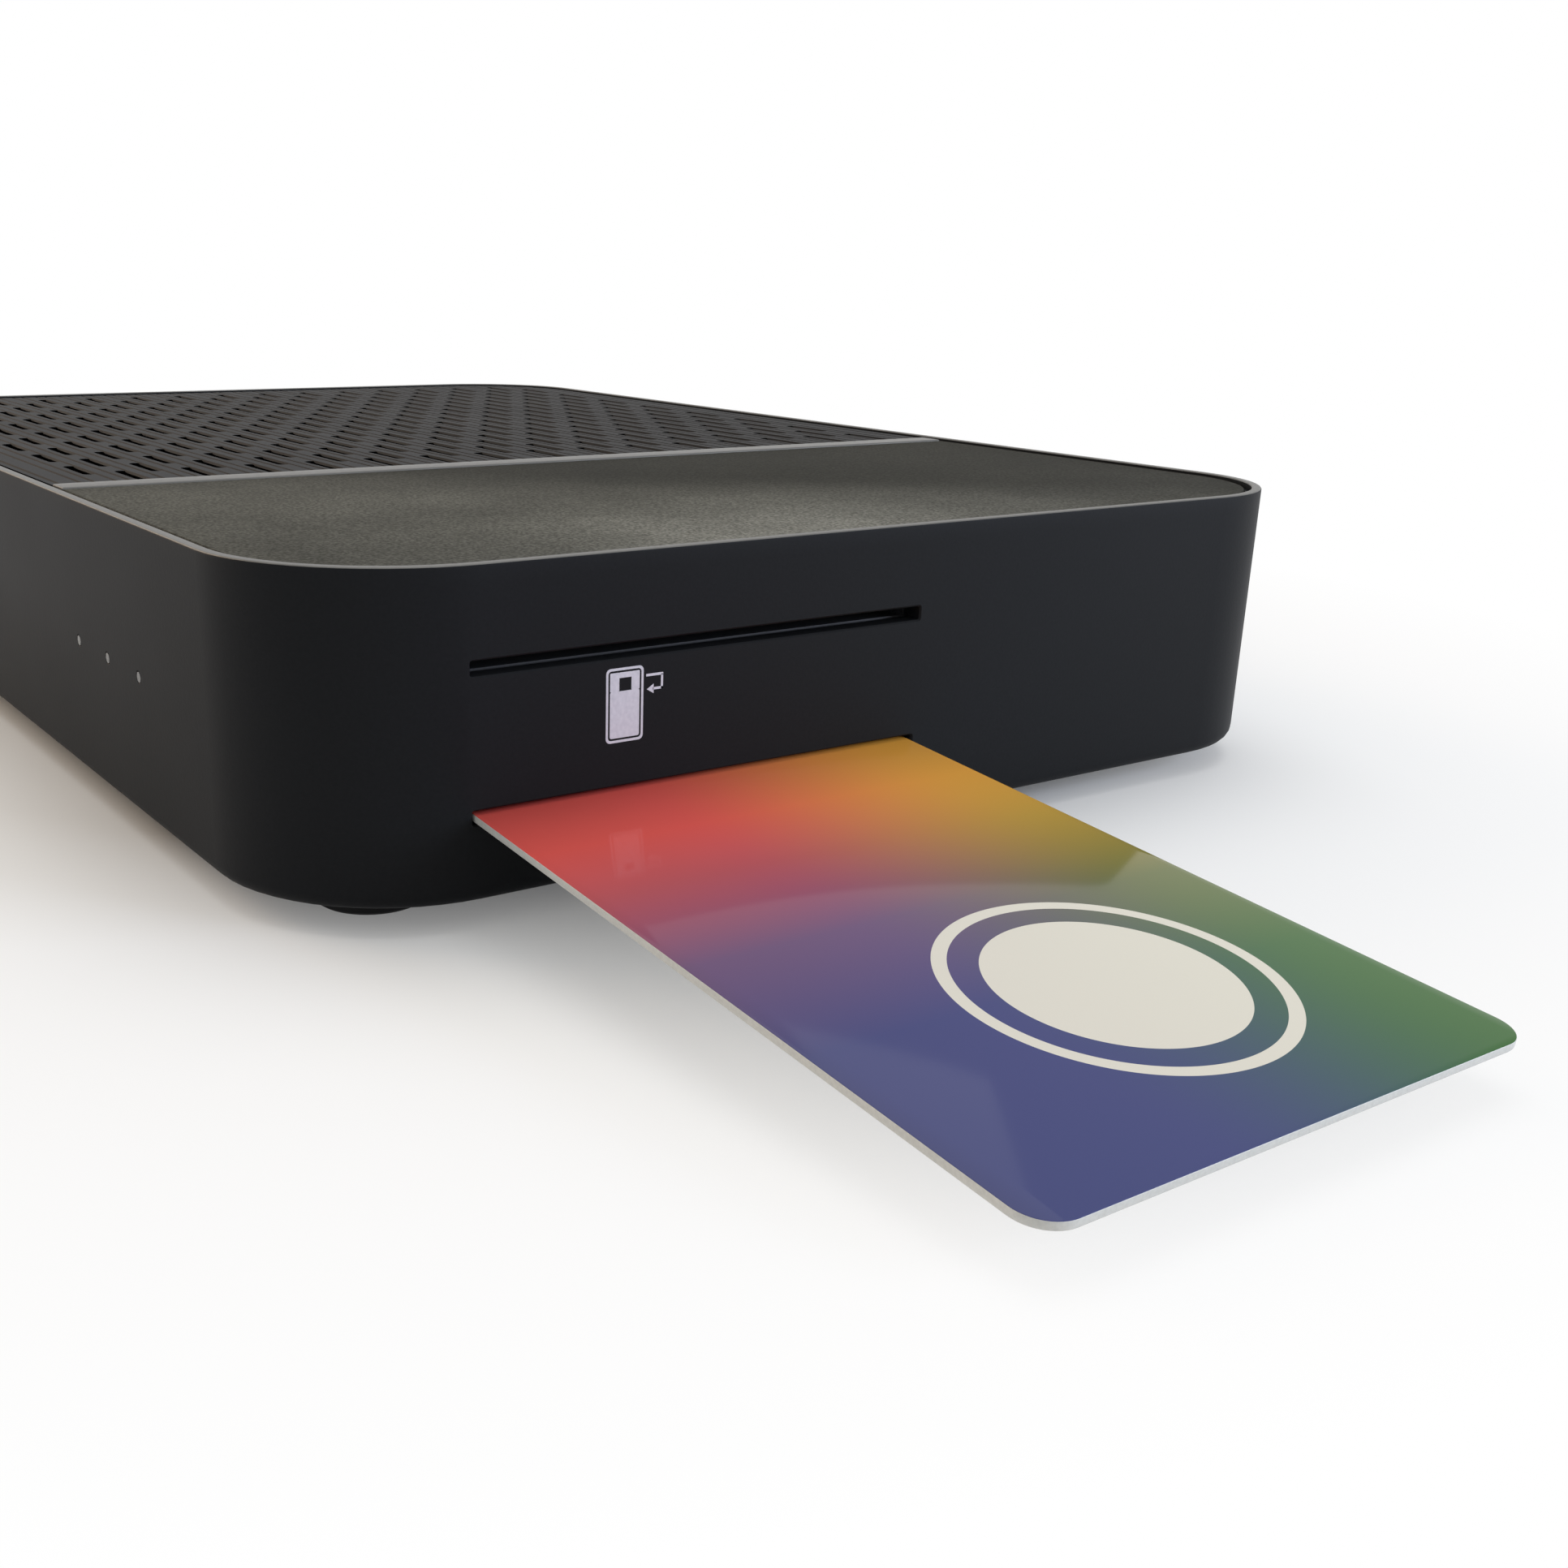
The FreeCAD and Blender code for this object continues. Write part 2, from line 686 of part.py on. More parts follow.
def board_screws():
    screws = [
        screw(
            f"board_screw_{name}",
            "board_head_radius",
            "board_head_thickness",
            "board_screw_radius",
            "board_screw_length",
            x,
            y,
            BOARD_TOP,
            upwards=False,
        )
        for name, x, y in standoff_places()
    ]
    return node(group("board_screw_group", screws), "board_screws")


def processor():
    node(block("soc", "chip_size", "chip_size", "chip_height", "chip_x", "chip_y", BOARD_TOP), "main_processor")


def heat_sink():
    """An extruded comb of upright fins that sits on the processor."""
    fins = 8
    half = "sink_size / 2"
    step = f"((sink_size - sink_fin) / {fins - 1})"
    top = "sink_base + sink_fin_height"
    points = [(f"0 - {half}", "0")]
    for number in range(fins):
        left = f"0 - {half} + {number} * {step}"
        if number:
            points.append((left, "sink_base"))
        points.append((left, top))
        points.append((f"{left} + sink_fin", top))
        if number < fins - 1:
            points.append((f"{left} + sink_fin", "sink_base"))
    points.append((half, "0"))
    seat = f"{BOARD_TOP} + chip_height"
    comb = prism("sink", points, "sink_size", "chip_x", "chip_y", seat, plane="XZ_Plane")
    return node(comb, "heat_sink")


def memory_chips():
    chips = [
        block(f"memory_{number}", "memory_length", "memory_width", "memory_height", "chip_x", y, BOARD_TOP)
        for number, y in enumerate(("chip_y - memory_offset", "chip_y + memory_offset"))
    ]
    return node(group("memories", chips), "memory_chips")


def capacitors():
    y = f"({STANDOFF_REAR} - capacitor_from_standoff)"
    cans = []
    for number in range(3):
        x = f"(capacitor_x + {number} * capacitor_pitch)"
        cans.append(rod(f"can_{number}", "capacitor_radius", "capacitor_height", x, y, BOARD_TOP, sides=16))
    return node(group("cans", cans), "capacitors")


def coils():
    y = f"({STANDOFF_REAR} - coil_from_standoff)"
    pieces = []
    for number in range(3):
        x = f"(coil_x + {number} * coil_pitch)"
        pieces.append(block(f"coil_{number}", "coil_size", "coil_size", "coil_height", x, y, BOARD_TOP))
    return node(group("coil_group", pieces), "power_coils")


# Front board: three light pipes, their lamps, the remote control eye and its header
def light_pipes():
    pipes = []
    for number, x in pipe_places():
        reach = "wall + pipe_reach"
        stem = rod(f"pipe_{number}", "pipe_radius", reach, x, "0 - body_depth / 2", "pipe_level", "y", sides=8)
        collar = ("pipe_flange_radius", "pipe_flange")
        flange = rod(f"pipe_flange_{number}", *collar, x, INNER_FRONT, "pipe_level", "y", sides=8)
        pipes.append(fuse(f"light_pipe_{number}", stem, flange))
    return node(group("pipes", pipes), "light_pipes")


def front_board():
    plate = block(
        "front_plate",
        "front_board_length",
        "front_board_thickness",
        "front_board_height",
        PIPE_X,
        f"({FRONT_BOARD_Y} + front_board_thickness / 2)",
        BOARD_TOP,
    )
    node(plate, "front_board")
    lamp_y = f"({FRONT_BOARD_Y} - lamp_depth / 2)"
    lamp_z = "pipe_level - lamp_size / 2"
    lamps = [
        block(f"lamp_{number}", "lamp_size", "lamp_depth", "lamp_size", x, lamp_y, lamp_z)
        for number, x in pipe_places()
    ]
    node(group("lamps", lamps), "indicator_lamps")
    eye_x = f"({PIPE_X} - eye_offset)"
    eye_y = f"({FRONT_BOARD_Y} - eye_depth / 2)"
    eye = block("eye", "eye_width", "eye_depth", "eye_height", eye_x, eye_y, "pipe_level - eye_height / 2")
    node(eye, "remote_eye")
    header_x = f"({PIPE_X} - header_offset)"
    header_y = f"({FRONT_BOARD_Y} + front_board_thickness + header_size / 2)"
    header = block("header", "header_length", "header_size", "header_size", header_x, header_y, BOARD_TOP)
    node(header, "front_header")


# Card readers: a guide with a card channel, a window and spring contacts below the card
def reader_guide(prefix):
    """The guide in its own place: the channel's middle at the outer face of the side wall is its origin."""
    length = f"({READER_BACK} - {READER_FRONT})"
    middle = f"(0 - ({READER_BACK} + {READER_FRONT}) / 2)"
    frame = block(f"{prefix}_frame", length, "reader_width", READER_HEIGHT, middle, "0", READER_BOTTOM)
    channel_length = f"({READER_BACK} - reader_end_wall)"
    channel = block(
        f"{prefix}_channel",
        channel_length,
        "channel_width",
        "channel_height",
        x=f"(0 - {channel_length} / 2)",
        z="0 - channel_height / 2",
    )
    window = block(
        f"{prefix}_window",
        "window_length",
        "window_width",
        "3 * reader_cover",
        x=middle,
        z="channel_height / 4",
    )
    well = block(
        f"{prefix}_well",
        "contact_row_gap + contact_length",
        "4 * contact_pitch + 2 * contact_width",
        "3 * reader_floor",
        CHIP_X,
        "chip_from_middle",
        "0 - 3 * reader_floor",
    )
    return frame, (channel, window, well)


def contact_springs(prefix, label):
    """Two rows of four blades. Each heel meets the edge of the well, and its crest is just under the card."""
    crest = "(0 - card_thickness / 2 - contact_clear)"
    heel = "(0 - contact_length / 2)"
    tip = "(contact_length / 2)"
    bend = [
        (heel, READER_BOTTOM),
        ("0", f"{crest} - contact_sheet"),
        ("contact_crest", f"{crest} - contact_sheet"),
        (tip, f"{crest} - contact_hook - contact_sheet"),
        (tip, f"{crest} - contact_hook"),
        ("contact_crest", crest),
        ("0", crest),
        (heel, f"{READER_BOTTOM} + contact_sheet"),
    ]
    in_row = 4
    blades = []
    for side in (-1, 1):
        points = [(f"0 - {side} * ({across})", up) for across, up in bend]
        x = f"({CHIP_X} + {side} * contact_row_gap / 2)"
        for number in range(in_row):
            name = f"{prefix}_blade_{len(blades)}"
            y = f"(chip_from_middle + ({number} - ({in_row} - 1) / 2) * contact_pitch)"
            blades.append(prism(name, points, "contact_width", x, y, plane="XZ_Plane"))
    return group(label, blades)


def place_reader(piece, level, angle="0"):
    if angle != "0":
        tilt(piece, angle)
    return bind(piece, x="body_width / 2", y=SLOT_Y, z=level)


def lower_reader():
    """The lower guide is raked, so that its card leans down outwards, and stands on two cheeks."""
    frame, tools = reader_guide("lower")
    guide = place_reader(cut("lower_guide", frame, *tools), CARD_LEVEL, "card_rake")
    cheek_length = f"({READER_BACK} - foot_from_side - boss_radius - 2 * board_gap)"
    cheek_x = f"(body_width / 2 - {READER_BACK} + {cheek_length} / 2)"
    cheek_y = "(reader_width - cheek_thickness) / 2"
    cheeks = [
        block(f"cheek_{number}", cheek_length, "cheek_thickness", READER_BACK, cheek_x, y, BOARD_TOP)
        for number, y in enumerate((f"({SLOT_Y} - {cheek_y})", f"({SLOT_Y} + {cheek_y})"))
    ]
    over = block("above_guide", f"4 * {READER_BACK}", "2 * reader_width", f"2 * {READER_BACK}", z=READER_BOTTOM)
    above = place_reader(group("above_guide_raked", [over]), CARD_LEVEL, "card_rake")
    legs = cut("reader_legs", fuse("cheeks", *cheeks), above)
    node(fuse("lower_reader", guide, legs), "lower_card_reader")
    springs = place_reader(contact_springs("lower", "lower_springs"), CARD_LEVEL, "card_rake")
    node(springs, "lower_reader_contacts")


def upper_reader():
    """The upper guide is level and stands on four hexagon posts with screws."""
    frame, tools = reader_guide("upper")
    middle = f"(0 - ({READER_BACK} + {READER_FRONT}) / 2)"
    lug_y = "(reader_width / 2 + lug_size / 2)"
    underside = f"({UPPER_SLOT} + {READER_BOTTOM})"
    rise = f"{underside} - {BOARD_TOP}"
    bore = "board_screw_radius + fit_gap"
    sizes = ("board_head_radius", "board_head_thickness", "board_screw_radius", "board_screw_length")
    lugs = []
    holes = []
    posts = []
    screws = []
    for number, (side, end) in enumerate(((-1, -1), (-1, 1), (1, -1), (1, 1))):
        x = f"({middle} + {end} * lug_spacing / 2)"
        y = f"{side} * {lug_y}"
        place = (f"(body_width / 2 + {x})", f"({SLOT_Y} + {y})")
        lugs.append(block(f"lug_{number}", "lug_size", "lug_size", "lug_thickness", x, y, READER_BOTTOM))
        hole_z = f"{READER_BOTTOM} - lug_thickness"
        holes.append(rod(f"lug_hole_{number}", bore, "3 * lug_thickness", x, y, hole_z, sides=8))
        post = rod(f"post_rod_{number}", "post_radius", rise, *place, BOARD_TOP, sides=6)
        bore_z = f"{underside} - board_screw_length"
        thread = rod(f"post_bore_{number}", bore, "board_screw_length", *place, bore_z, sides=8)
        posts.append(cut(f"post_{number}", post, thread))
        seat = f"{underside} + lug_thickness"
        screws.append(screw(f"reader_screw_{number}", *sizes, *place, seat, upwards=False))
    body = fuse("upper_body", frame, *lugs)
    guide = place_reader(cut("upper_guide", body, *tools, *holes), UPPER_SLOT)
    node(guide, "upper_card_reader")
    node(place_reader(contact_springs("upper", "upper_springs"), UPPER_SLOT), "upper_reader_contacts")
    node(group("posts", posts), "reader_posts")
    node(group("reader_screw_group", screws), "reader_screws")
    header_x = f"(body_width / 2 - {READER_BACK} + header_size / 2)"
    header_y = f"({SLOT_Y} + reader_width / 2 + header_length)"
    header = block("tall_header", "header_size", "header_length", rise, header_x, header_y, BOARD_TOP)
    node(header, "reader_header")


def smart_card():
    """The card leans with the lower guide. Its chip plate sits flush in a pocket of the underside."""
    middle = "(card_length / 2 - card_inserted)"
    under = "(0 - card_thickness / 2)"
    outline = ("card_length", "card_width", "card_thickness", "card_corner")
    blank = rounded("card_sheet", *outline, middle, z=under)
    chip_x = "(chip_from_end - card_inserted)"
    pocket = rounded(
        "chip_pocket",
        "chip_length + 2 * chip_gap",
        "chip_width + 2 * chip_gap",
        "card_thickness + chip_thickness + chip_gap / 2",
        "chip_corner + chip_gap",
        chip_x,
        "chip_from_middle",
        f"{under} - card_thickness",
    )
    card = cut("card", blank, pocket)
    place = (chip_x, "chip_from_middle", under)
    chip = rounded("chip_plate", "chip_length", "chip_width", "chip_thickness", "chip_corner", *place)
    node(place_reader(card, CARD_LEVEL, "card_rake"), "smart_card")
    node(place_reader(group("chip", [chip]), CARD_LEVEL, "card_rake"), "card_chip")


# Rear panel: a steel sheet whose cut-outs follow the sockets
def socket_opening(name, width, height, z=BOARD_TOP):
    """A cut-out in the panel, with a gap all round the socket."""
    gap = "2 * socket_gap"
    depth = "6 * panel_thickness"
    sizes = (f"({width}) + {gap}", depth, f"({height}) + {gap}")
    return block(f"{name}_opening", *sizes, SOCKETS[name], INNER_REAR, f"{z} - socket_gap")


def round_opening(name, radius, level):
    depth = "6 * panel_thickness"
    start = f"{INNER_REAR} - {depth} / 2"
    return rod(f"{name}_opening", f"{radius} + socket_gap", depth, SOCKETS[name], start, level, "y", sides=12)


def rear_panel():
    panel_y = f"({INNER_REAR} - panel_thickness / 2)"
    plate = block("panel", PANEL_WIDTH, "panel_thickness", "panel_height", "0", panel_y, "cover_thickness")
    bezel_inner_x = "switch_width - 2 * switch_lap"
    bezel_inner_z = "switch_height - 2 * switch_lap"
    plain = [
        socket_opening(name, f"{name}_width", f"{name}_height")
        for name in ("hdmi", "network", "usb", "optical", "power")
    ]
    tools = [
        *plain,
        socket_opening("switch", bezel_inner_x, bezel_inner_z, f"switch_level - ({bezel_inner_z}) / 2"),
        round_opening("tuner", "aerial_flange_radius", f"{BOARD_TOP} + tuner_height / 2"),
        round_opening("audio", "audio_nose_radius", f"{BOARD_TOP} + audio_height / 2"),
    ]
    return node(cut("panel_sheet", plate, *tools), "rear_panel")


def housing_block(name, width, depth, height, face=SOCKET_FACE):
    """A socket's body on the board, from its rear face inwards."""
    return block(f"{name}_body", width, depth, height, SOCKETS[name], f"({face} - ({depth}) / 2)", BOARD_TOP)


def aerial_input():
    """The tuner can and its aerial connector, a plain barrel with a hexagon flange."""
    node(housing_block("tuner", "tuner_length", "tuner_depth", "tuner_height", TUNER_FACE), "tuner_can")
    place = (SOCKETS["tuner"], TUNER_FACE, f"({BOARD_TOP} + tuner_height / 2)", "y")
    inner_place = (SOCKETS["tuner"], f"{TUNER_FACE} + aerial_floor", *place[2:])
    flange_length = "panel_thickness + 2 * socket_gap + wall + aerial_flange"
    length = f"{flange_length} + aerial_length"
    flange = rod("aerial_flange_nut", "aerial_flange_radius", flange_length, *place, sides=6)
    tube = fuse("aerial_solid", flange, rod("aerial_barrel", "aerial_radius", length, *place))
    shell = cut("aerial_shell", tube, rod("aerial_bore_tool", "aerial_bore", length, *inner_place, sides=16))
    core = rod("aerial_core_rod", "aerial_core", f"{length} - aerial_flange", *place, sides=12)
    hole = rod("aerial_core_tool", "aerial_core_bore", length, *inner_place, sides=6)
    node(fuse("aerial", shell, cut("aerial_core_piece", core, hole)), "aerial_connector")


def hdmi_socket():
    half = "hdmi_width / 2"
    points = [
        (f"0 - {half}", "hdmi_chamfer"),
        (f"0 - {half} + hdmi_chamfer", "0"),
        (f"{half} - hdmi_chamfer", "0"),
        (half, "hdmi_chamfer"),
        (half, "hdmi_height"),
        (f"0 - {half}", "hdmi_height"),
    ]
    inner_half = f"({half} - hdmi_wall)"
    inner = [
        (f"0 - {inner_half}", "hdmi_chamfer + hdmi_wall / 2"),
        (f"0 - {inner_half} + hdmi_chamfer", "hdmi_wall"),
        (f"{inner_half} - hdmi_chamfer", "hdmi_wall"),
        (inner_half, "hdmi_chamfer + hdmi_wall / 2"),
        (inner_half, "hdmi_height - hdmi_wall"),
        (f"0 - {inner_half}", "hdmi_height - hdmi_wall"),
    ]
    middle = f"({SOCKET_FACE} - hdmi_depth / 2)"
    x = SOCKETS["hdmi"]
    inner_middle = f"{middle} + 2 * hdmi_wall"
    shell = prism("hdmi_shell", points, "hdmi_depth", x, middle, BOARD_TOP, plane="XZ_Plane")
    hollow = prism("hdmi_hollow", inner, "hdmi_depth", x, inner_middle, BOARD_TOP, plane="XZ_Plane")
    tongue_depth = "(hdmi_depth - 4 * hdmi_wall)"
    tongue_y = f"({SOCKET_FACE} - hdmi_depth + {tongue_depth} / 2 + hdmi_wall)"
    tongue_z = f"{BOARD_TOP} + hdmi_height / 2"
    tongue_width = "hdmi_width - 8 * hdmi_wall"
    tongue = block("hdmi_tongue_bar", tongue_width, tongue_depth, "hdmi_tongue", x, tongue_y, tongue_z)
    return node(fuse("hdmi", cut("hdmi_can", shell, hollow), tongue), "hdmi_socket")


def network_socket():
    body = housing_block("network", "network_width", "network_depth", "network_height")
    x = SOCKETS["network"]
    y = f"({SOCKET_FACE} - network_opening_depth / 2)"
    floor = f"{BOARD_TOP} + network_floor"
    cavity_z = f"{floor} + network_latch_height"
    cavity_height = "network_opening_height - network_latch_height"
    wide = ("network_opening_width", "network_opening_depth", cavity_height)
    narrow = ("network_latch_width", "network_opening_depth", "network_opening_height - network_lip")
    cavity = block("network_cavity", *wide, x, y, cavity_z)
    latch = block("network_latch", *narrow, x, y, floor)
    return node(cut("network", body, cavity, latch), "network_socket")


def usb_socket():
    body = housing_block("usb", "usb_width", "usb_depth", "usb_height")
    x = SOCKETS["usb"]
    inner_depth = "(usb_depth - 2 * usb_wall)"
    inner_y = f"({SOCKET_FACE} - {inner_depth} / 2)"
    inner = ("usb_width - 2 * usb_wall", inner_depth, "usb_height - 2 * usb_wall")
    hollow = block("usb_hollow", *inner, x, inner_y, f"{BOARD_TOP} + usb_wall")
    tongue_length = f"({inner_depth} - 2 * usb_tongue)"
    tongue_y = f"({SOCKET_FACE} - usb_depth + usb_wall + {tongue_length} / 2)"
    bar = ("usb_width - 4 * usb_wall", tongue_length, "usb_tongue")
    tongue = block("usb_tongue_bar", *bar, x, tongue_y, f"{BOARD_TOP} + usb_height / 2")
    return node(fuse("usb", cut("usb_can", body, hollow), tongue), "usb_socket")


def optical_socket():
    """A square cavity closed by a sprung shutter that turns on a pin at its upper edge."""
    body = housing_block("optical", "optical_width", "optical_depth", "optical_height")
    x = SOCKETS["optical"]
    middle = f"({BOARD_TOP} + optical_height / 2)"
    hollow = ("optical_opening", "optical_cavity", "optical_opening")
    cavity_y = f"({SOCKET_FACE} - optical_cavity / 2)"
    cavity = block("optical_hollow", *hollow, x, cavity_y, f"{middle} - optical_opening / 2")
    pin_y = f"({SOCKET_FACE} - shutter_inset - shutter_thickness / 2)"
    pin_z = f"({middle} + optical_opening / 2 - shutter_thickness / 2 - shutter_gap)"
    pin_length = "(optical_opening + 2 * shutter_thickness)"
    seat_x = f"{x} - {pin_length} / 2"
    seat = rod("optical_pin_seat", "shutter_pin + fit_gap", pin_length, seat_x, pin_y, pin_z, "x", sides=12)
    node(cut("optical", body, cavity, seat), "optical_socket")
    width = "(optical_opening - 2 * shutter_gap)"
    height = "(optical_opening - 2 * shutter_gap - shutter_thickness / 2)"
    plate = block("shutter_plate", width, "shutter_thickness", height, x, pin_y, f"{pin_z} - {height}")
    knuckle_x = f"{x} - {width} / 2"
    knuckle = rod("shutter_knuckle", "shutter_thickness / 2", width, knuckle_x, pin_y, pin_z, "x", sides=12)
    short_pin = f"({pin_length} - 2 * fit_gap)"
    pin_x = f"{x} - {short_pin} / 2"
    pin = rod("shutter_pin_rod", "shutter_pin - fit_gap", short_pin, pin_x, pin_y, pin_z, "x", sides=12)
    node(fuse("shutter", plate, knuckle, pin), "optical_shutter")


def audio_jack():
    x = SOCKETS["audio"]
    level = f"({BOARD_TOP} + audio_height / 2)"
    body_face = f"({SOCKET_FACE} - audio_nose - wall)"
    body = housing_block("audio", "audio_width", "audio_depth - audio_nose", "audio_height", body_face)
    nose_length = "audio_nose + 2 * wall"
    nose_start = f"{body_face} - wall"
    nose = rod("audio_nose_ring", "audio_nose_radius", nose_length, x, nose_start, level, "y", sides=16)
    bore_start = f"{SOCKET_FACE} - audio_bore_depth"
    bore = rod("audio_bore_tool", "audio_bore", "audio_bore_depth + wall", x, bore_start, level, "y")
    return node(cut("audio", fuse("audio_solid", body, nose), bore), "audio_jack")


def power_inlet():
    x = SOCKETS["power"]
    level = f"({BOARD_TOP} + power_height / 2)"
    body = housing_block("power", "power_width", "power_depth", "power_height")
    bore_start = f"{SOCKET_FACE} - power_bore_depth"
    bore_length = "power_bore_depth + wall"
    bore = rod("power_bore_tool", "power_bore", bore_length, x, bore_start, level, "y", sides=16)
    pin_start = f"{bore_start} - power_pin"
    pin = rod("power_pin_rod", "power_pin", "power_bore_depth", x, pin_start, level, "y", sides=12)
    return node(fuse("power", cut("power_case", body, bore), pin), "power_inlet")


def power_switch():
    """A snap-in frame on the rear panel and the rocker that tilts in it."""
    x = SOCKETS["switch"]
    bezel_y = f"({INNER_REAR} + switch_bezel / 2)"
    bezel_z = "switch_level - switch_height / 2"
    bezel = block("switch_bezel_plate", "switch_width", "switch_bezel", "switch_height", x, bezel_y, bezel_z)
    body_x = "(switch_width - 2 * switch_lap)"
    body_z = "(switch_height - 2 * switch_lap)"
    case_y = f"({INNER_REAR} - switch_depth / 2)"
    case = block("switch_case", body_x, "switch_depth", body_z, x, case_y, f"switch_level - {body_z} / 2")
    well_x = f"({body_x} - 2 * switch_wall)"
    well_z = f"({body_z} - 2 * switch_wall)"
    well_depth = "(switch_depth - switch_wall)"
    well_y = f"({INNER_REAR} + switch_bezel - {well_depth} / 2)"
    well_sizes = (well_x, f"{well_depth} + 2 * switch_bezel", well_z)
    well = block("switch_well", *well_sizes, x, well_y, f"switch_level - {well_z} / 2")
    pivot_y = f"({INNER_REAR} + switch_bezel - rocker_pivot_inset)"
    pin_length = f"({well_x} + switch_wall)"
    seat_x = f"{x} - {pin_length} / 2"
    seat_radius = "rocker_pin + rocker_pin_gap"
    seat = rod("rocker_seat", seat_radius, pin_length, seat_x, pivot_y, "switch_level", "x", sides=12)
    node(cut("switch", fuse("switch_solid", bezel, case), well, seat), "switch_frame")
    half = f"({well_z} / 2 - rocker_gap)"
    points = [
        ("0 - rocker_depth", f"0 - {half} + rocker_depth"),
        ("rocker_rise", f"0 - {half}"),
        ("rocker_rise - rocker_dip", "0"),
        ("rocker_rise", half),
        ("0 - rocker_depth", f"{half} - rocker_depth"),
    ]
    lever = prism("rocker_lever", points, f"({well_x} - 2 * rocker_gap)")
    short_pin = f"({pin_length} - 2 * rocker_pin_gap)"
    pin = rod("rocker_pin_rod", "rocker_pin", short_pin, f"0 - {short_pin} / 2", axis="x", sides=12)
    rocker = fuse("rocker", lever, pin)
    rocker.Placement = FreeCAD.Placement(FreeCAD.Vector(), FreeCAD.Rotation(FreeCAD.Vector(1, 0, 0), 1))
    bind(rocker, turn="rocker_tilt", x=x, y=pivot_y, z="switch_level")
    node(rocker, "power_rocker")


def write_parts():
    doc.recompute()
    failed = [piece.Name for piece in doc.Objects if {"Invalid", "Error"} & set(piece.State)]
    if failed:
        raise RuntimeError(f"these objects failed: {failed}")
    for piece in NODES:
        if piece.Shape.isNull() or not piece.Shape.isValid():
            raise RuntimeError(f"{piece.Label} has no valid shape")
    os.makedirs("parts", exist_ok=True)
    for piece in NODES:
        piece.Shape.exportStep(f"parts/{piece.Label}.step")
    print(f"{len(NODES)} nodes, {sum(len(piece.Shape.Solids) for piece in NODES)} solids")


housing_shell()
trim_ring()
smooth_top()
divider()
vent_grille()
base_cover()
rubber_feet()
case_screws()
main_board()
board_screws()
processor()
heat_sink()
memory_chips()
capacitors()
coils()
light_pipes()
front_board()
lower_reader()
upper_reader()
smart_card()
rear_panel()
aerial_input()
hdmi_socket()
network_socket()
usb_socket()
optical_socket()
audio_jack()
power_inlet()
power_switch()
write_parts()
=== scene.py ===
import math

import bmesh
import bpy
from mathutils import Matrix, Vector


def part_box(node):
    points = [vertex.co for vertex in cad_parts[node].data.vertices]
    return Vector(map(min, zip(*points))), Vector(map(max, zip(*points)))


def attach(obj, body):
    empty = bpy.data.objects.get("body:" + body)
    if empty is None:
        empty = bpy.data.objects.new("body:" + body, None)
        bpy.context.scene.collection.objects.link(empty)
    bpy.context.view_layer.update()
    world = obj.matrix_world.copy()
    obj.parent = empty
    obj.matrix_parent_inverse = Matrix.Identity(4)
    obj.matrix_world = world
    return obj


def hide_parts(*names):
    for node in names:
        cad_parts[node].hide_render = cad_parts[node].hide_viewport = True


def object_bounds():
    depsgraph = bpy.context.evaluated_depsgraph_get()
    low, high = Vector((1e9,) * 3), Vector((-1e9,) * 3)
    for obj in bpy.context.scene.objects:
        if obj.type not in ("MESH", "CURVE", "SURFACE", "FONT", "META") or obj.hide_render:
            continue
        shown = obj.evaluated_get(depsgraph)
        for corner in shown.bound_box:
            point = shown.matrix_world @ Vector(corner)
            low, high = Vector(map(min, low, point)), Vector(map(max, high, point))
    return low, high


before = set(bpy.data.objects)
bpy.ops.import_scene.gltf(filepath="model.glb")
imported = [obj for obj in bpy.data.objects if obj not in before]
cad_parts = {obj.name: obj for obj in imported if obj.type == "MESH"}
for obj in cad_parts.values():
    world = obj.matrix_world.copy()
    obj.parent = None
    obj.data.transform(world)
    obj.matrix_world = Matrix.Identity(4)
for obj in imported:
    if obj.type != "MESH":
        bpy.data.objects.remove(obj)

MM = 0.001
packed_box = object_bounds()


# Housing. One moulding of charcoal ABS with upright walls and wide round corners. Its mould is
# spark-eroded, which leaves a fine matt grain. The top plates lie on a ledge just inside its rim,
# and the card side is pierced by two slots.
def linear(tone):
    """An sRGB hex tone as a linear colour."""
    colour = []
    for place in (1, 3, 5):
        share = int(tone[place:place + 2], 16) / 255
        colour.append(share / 12.92 if share <= 0.04045 else ((share + 0.055) / 1.055) ** 2.4)
    return (*colour, 1)


def add(tree, kind, inputs=None, **settings):
    """Add one node. An input is given a value, or the output of another node."""
    node = tree.nodes.new(kind)
    for name, value in settings.items():
        setattr(node, name, value)
    for name, value in (inputs or {}).items():
        if isinstance(value, bpy.types.NodeSocket):
            tree.links.new(value, node.inputs[name])
        else:
            node.inputs[name].default_value = value
    return node


def new_finish(name):
    material = bpy.data.materials.new(name)
    material.use_nodes = True
    material.node_tree.nodes.clear()
    return material, material.node_tree


def surface(tree, **sockets):
    """The shader and the output. An underscore in a socket's name stands for a space."""
    inputs = {name.replace("_", " "): value for name, value in sockets.items()}
    shader = add(tree, "ShaderNodeBsdfPrincipled", inputs)
    add(tree, "ShaderNodeOutputMaterial", {"Surface": shader.outputs[0]})


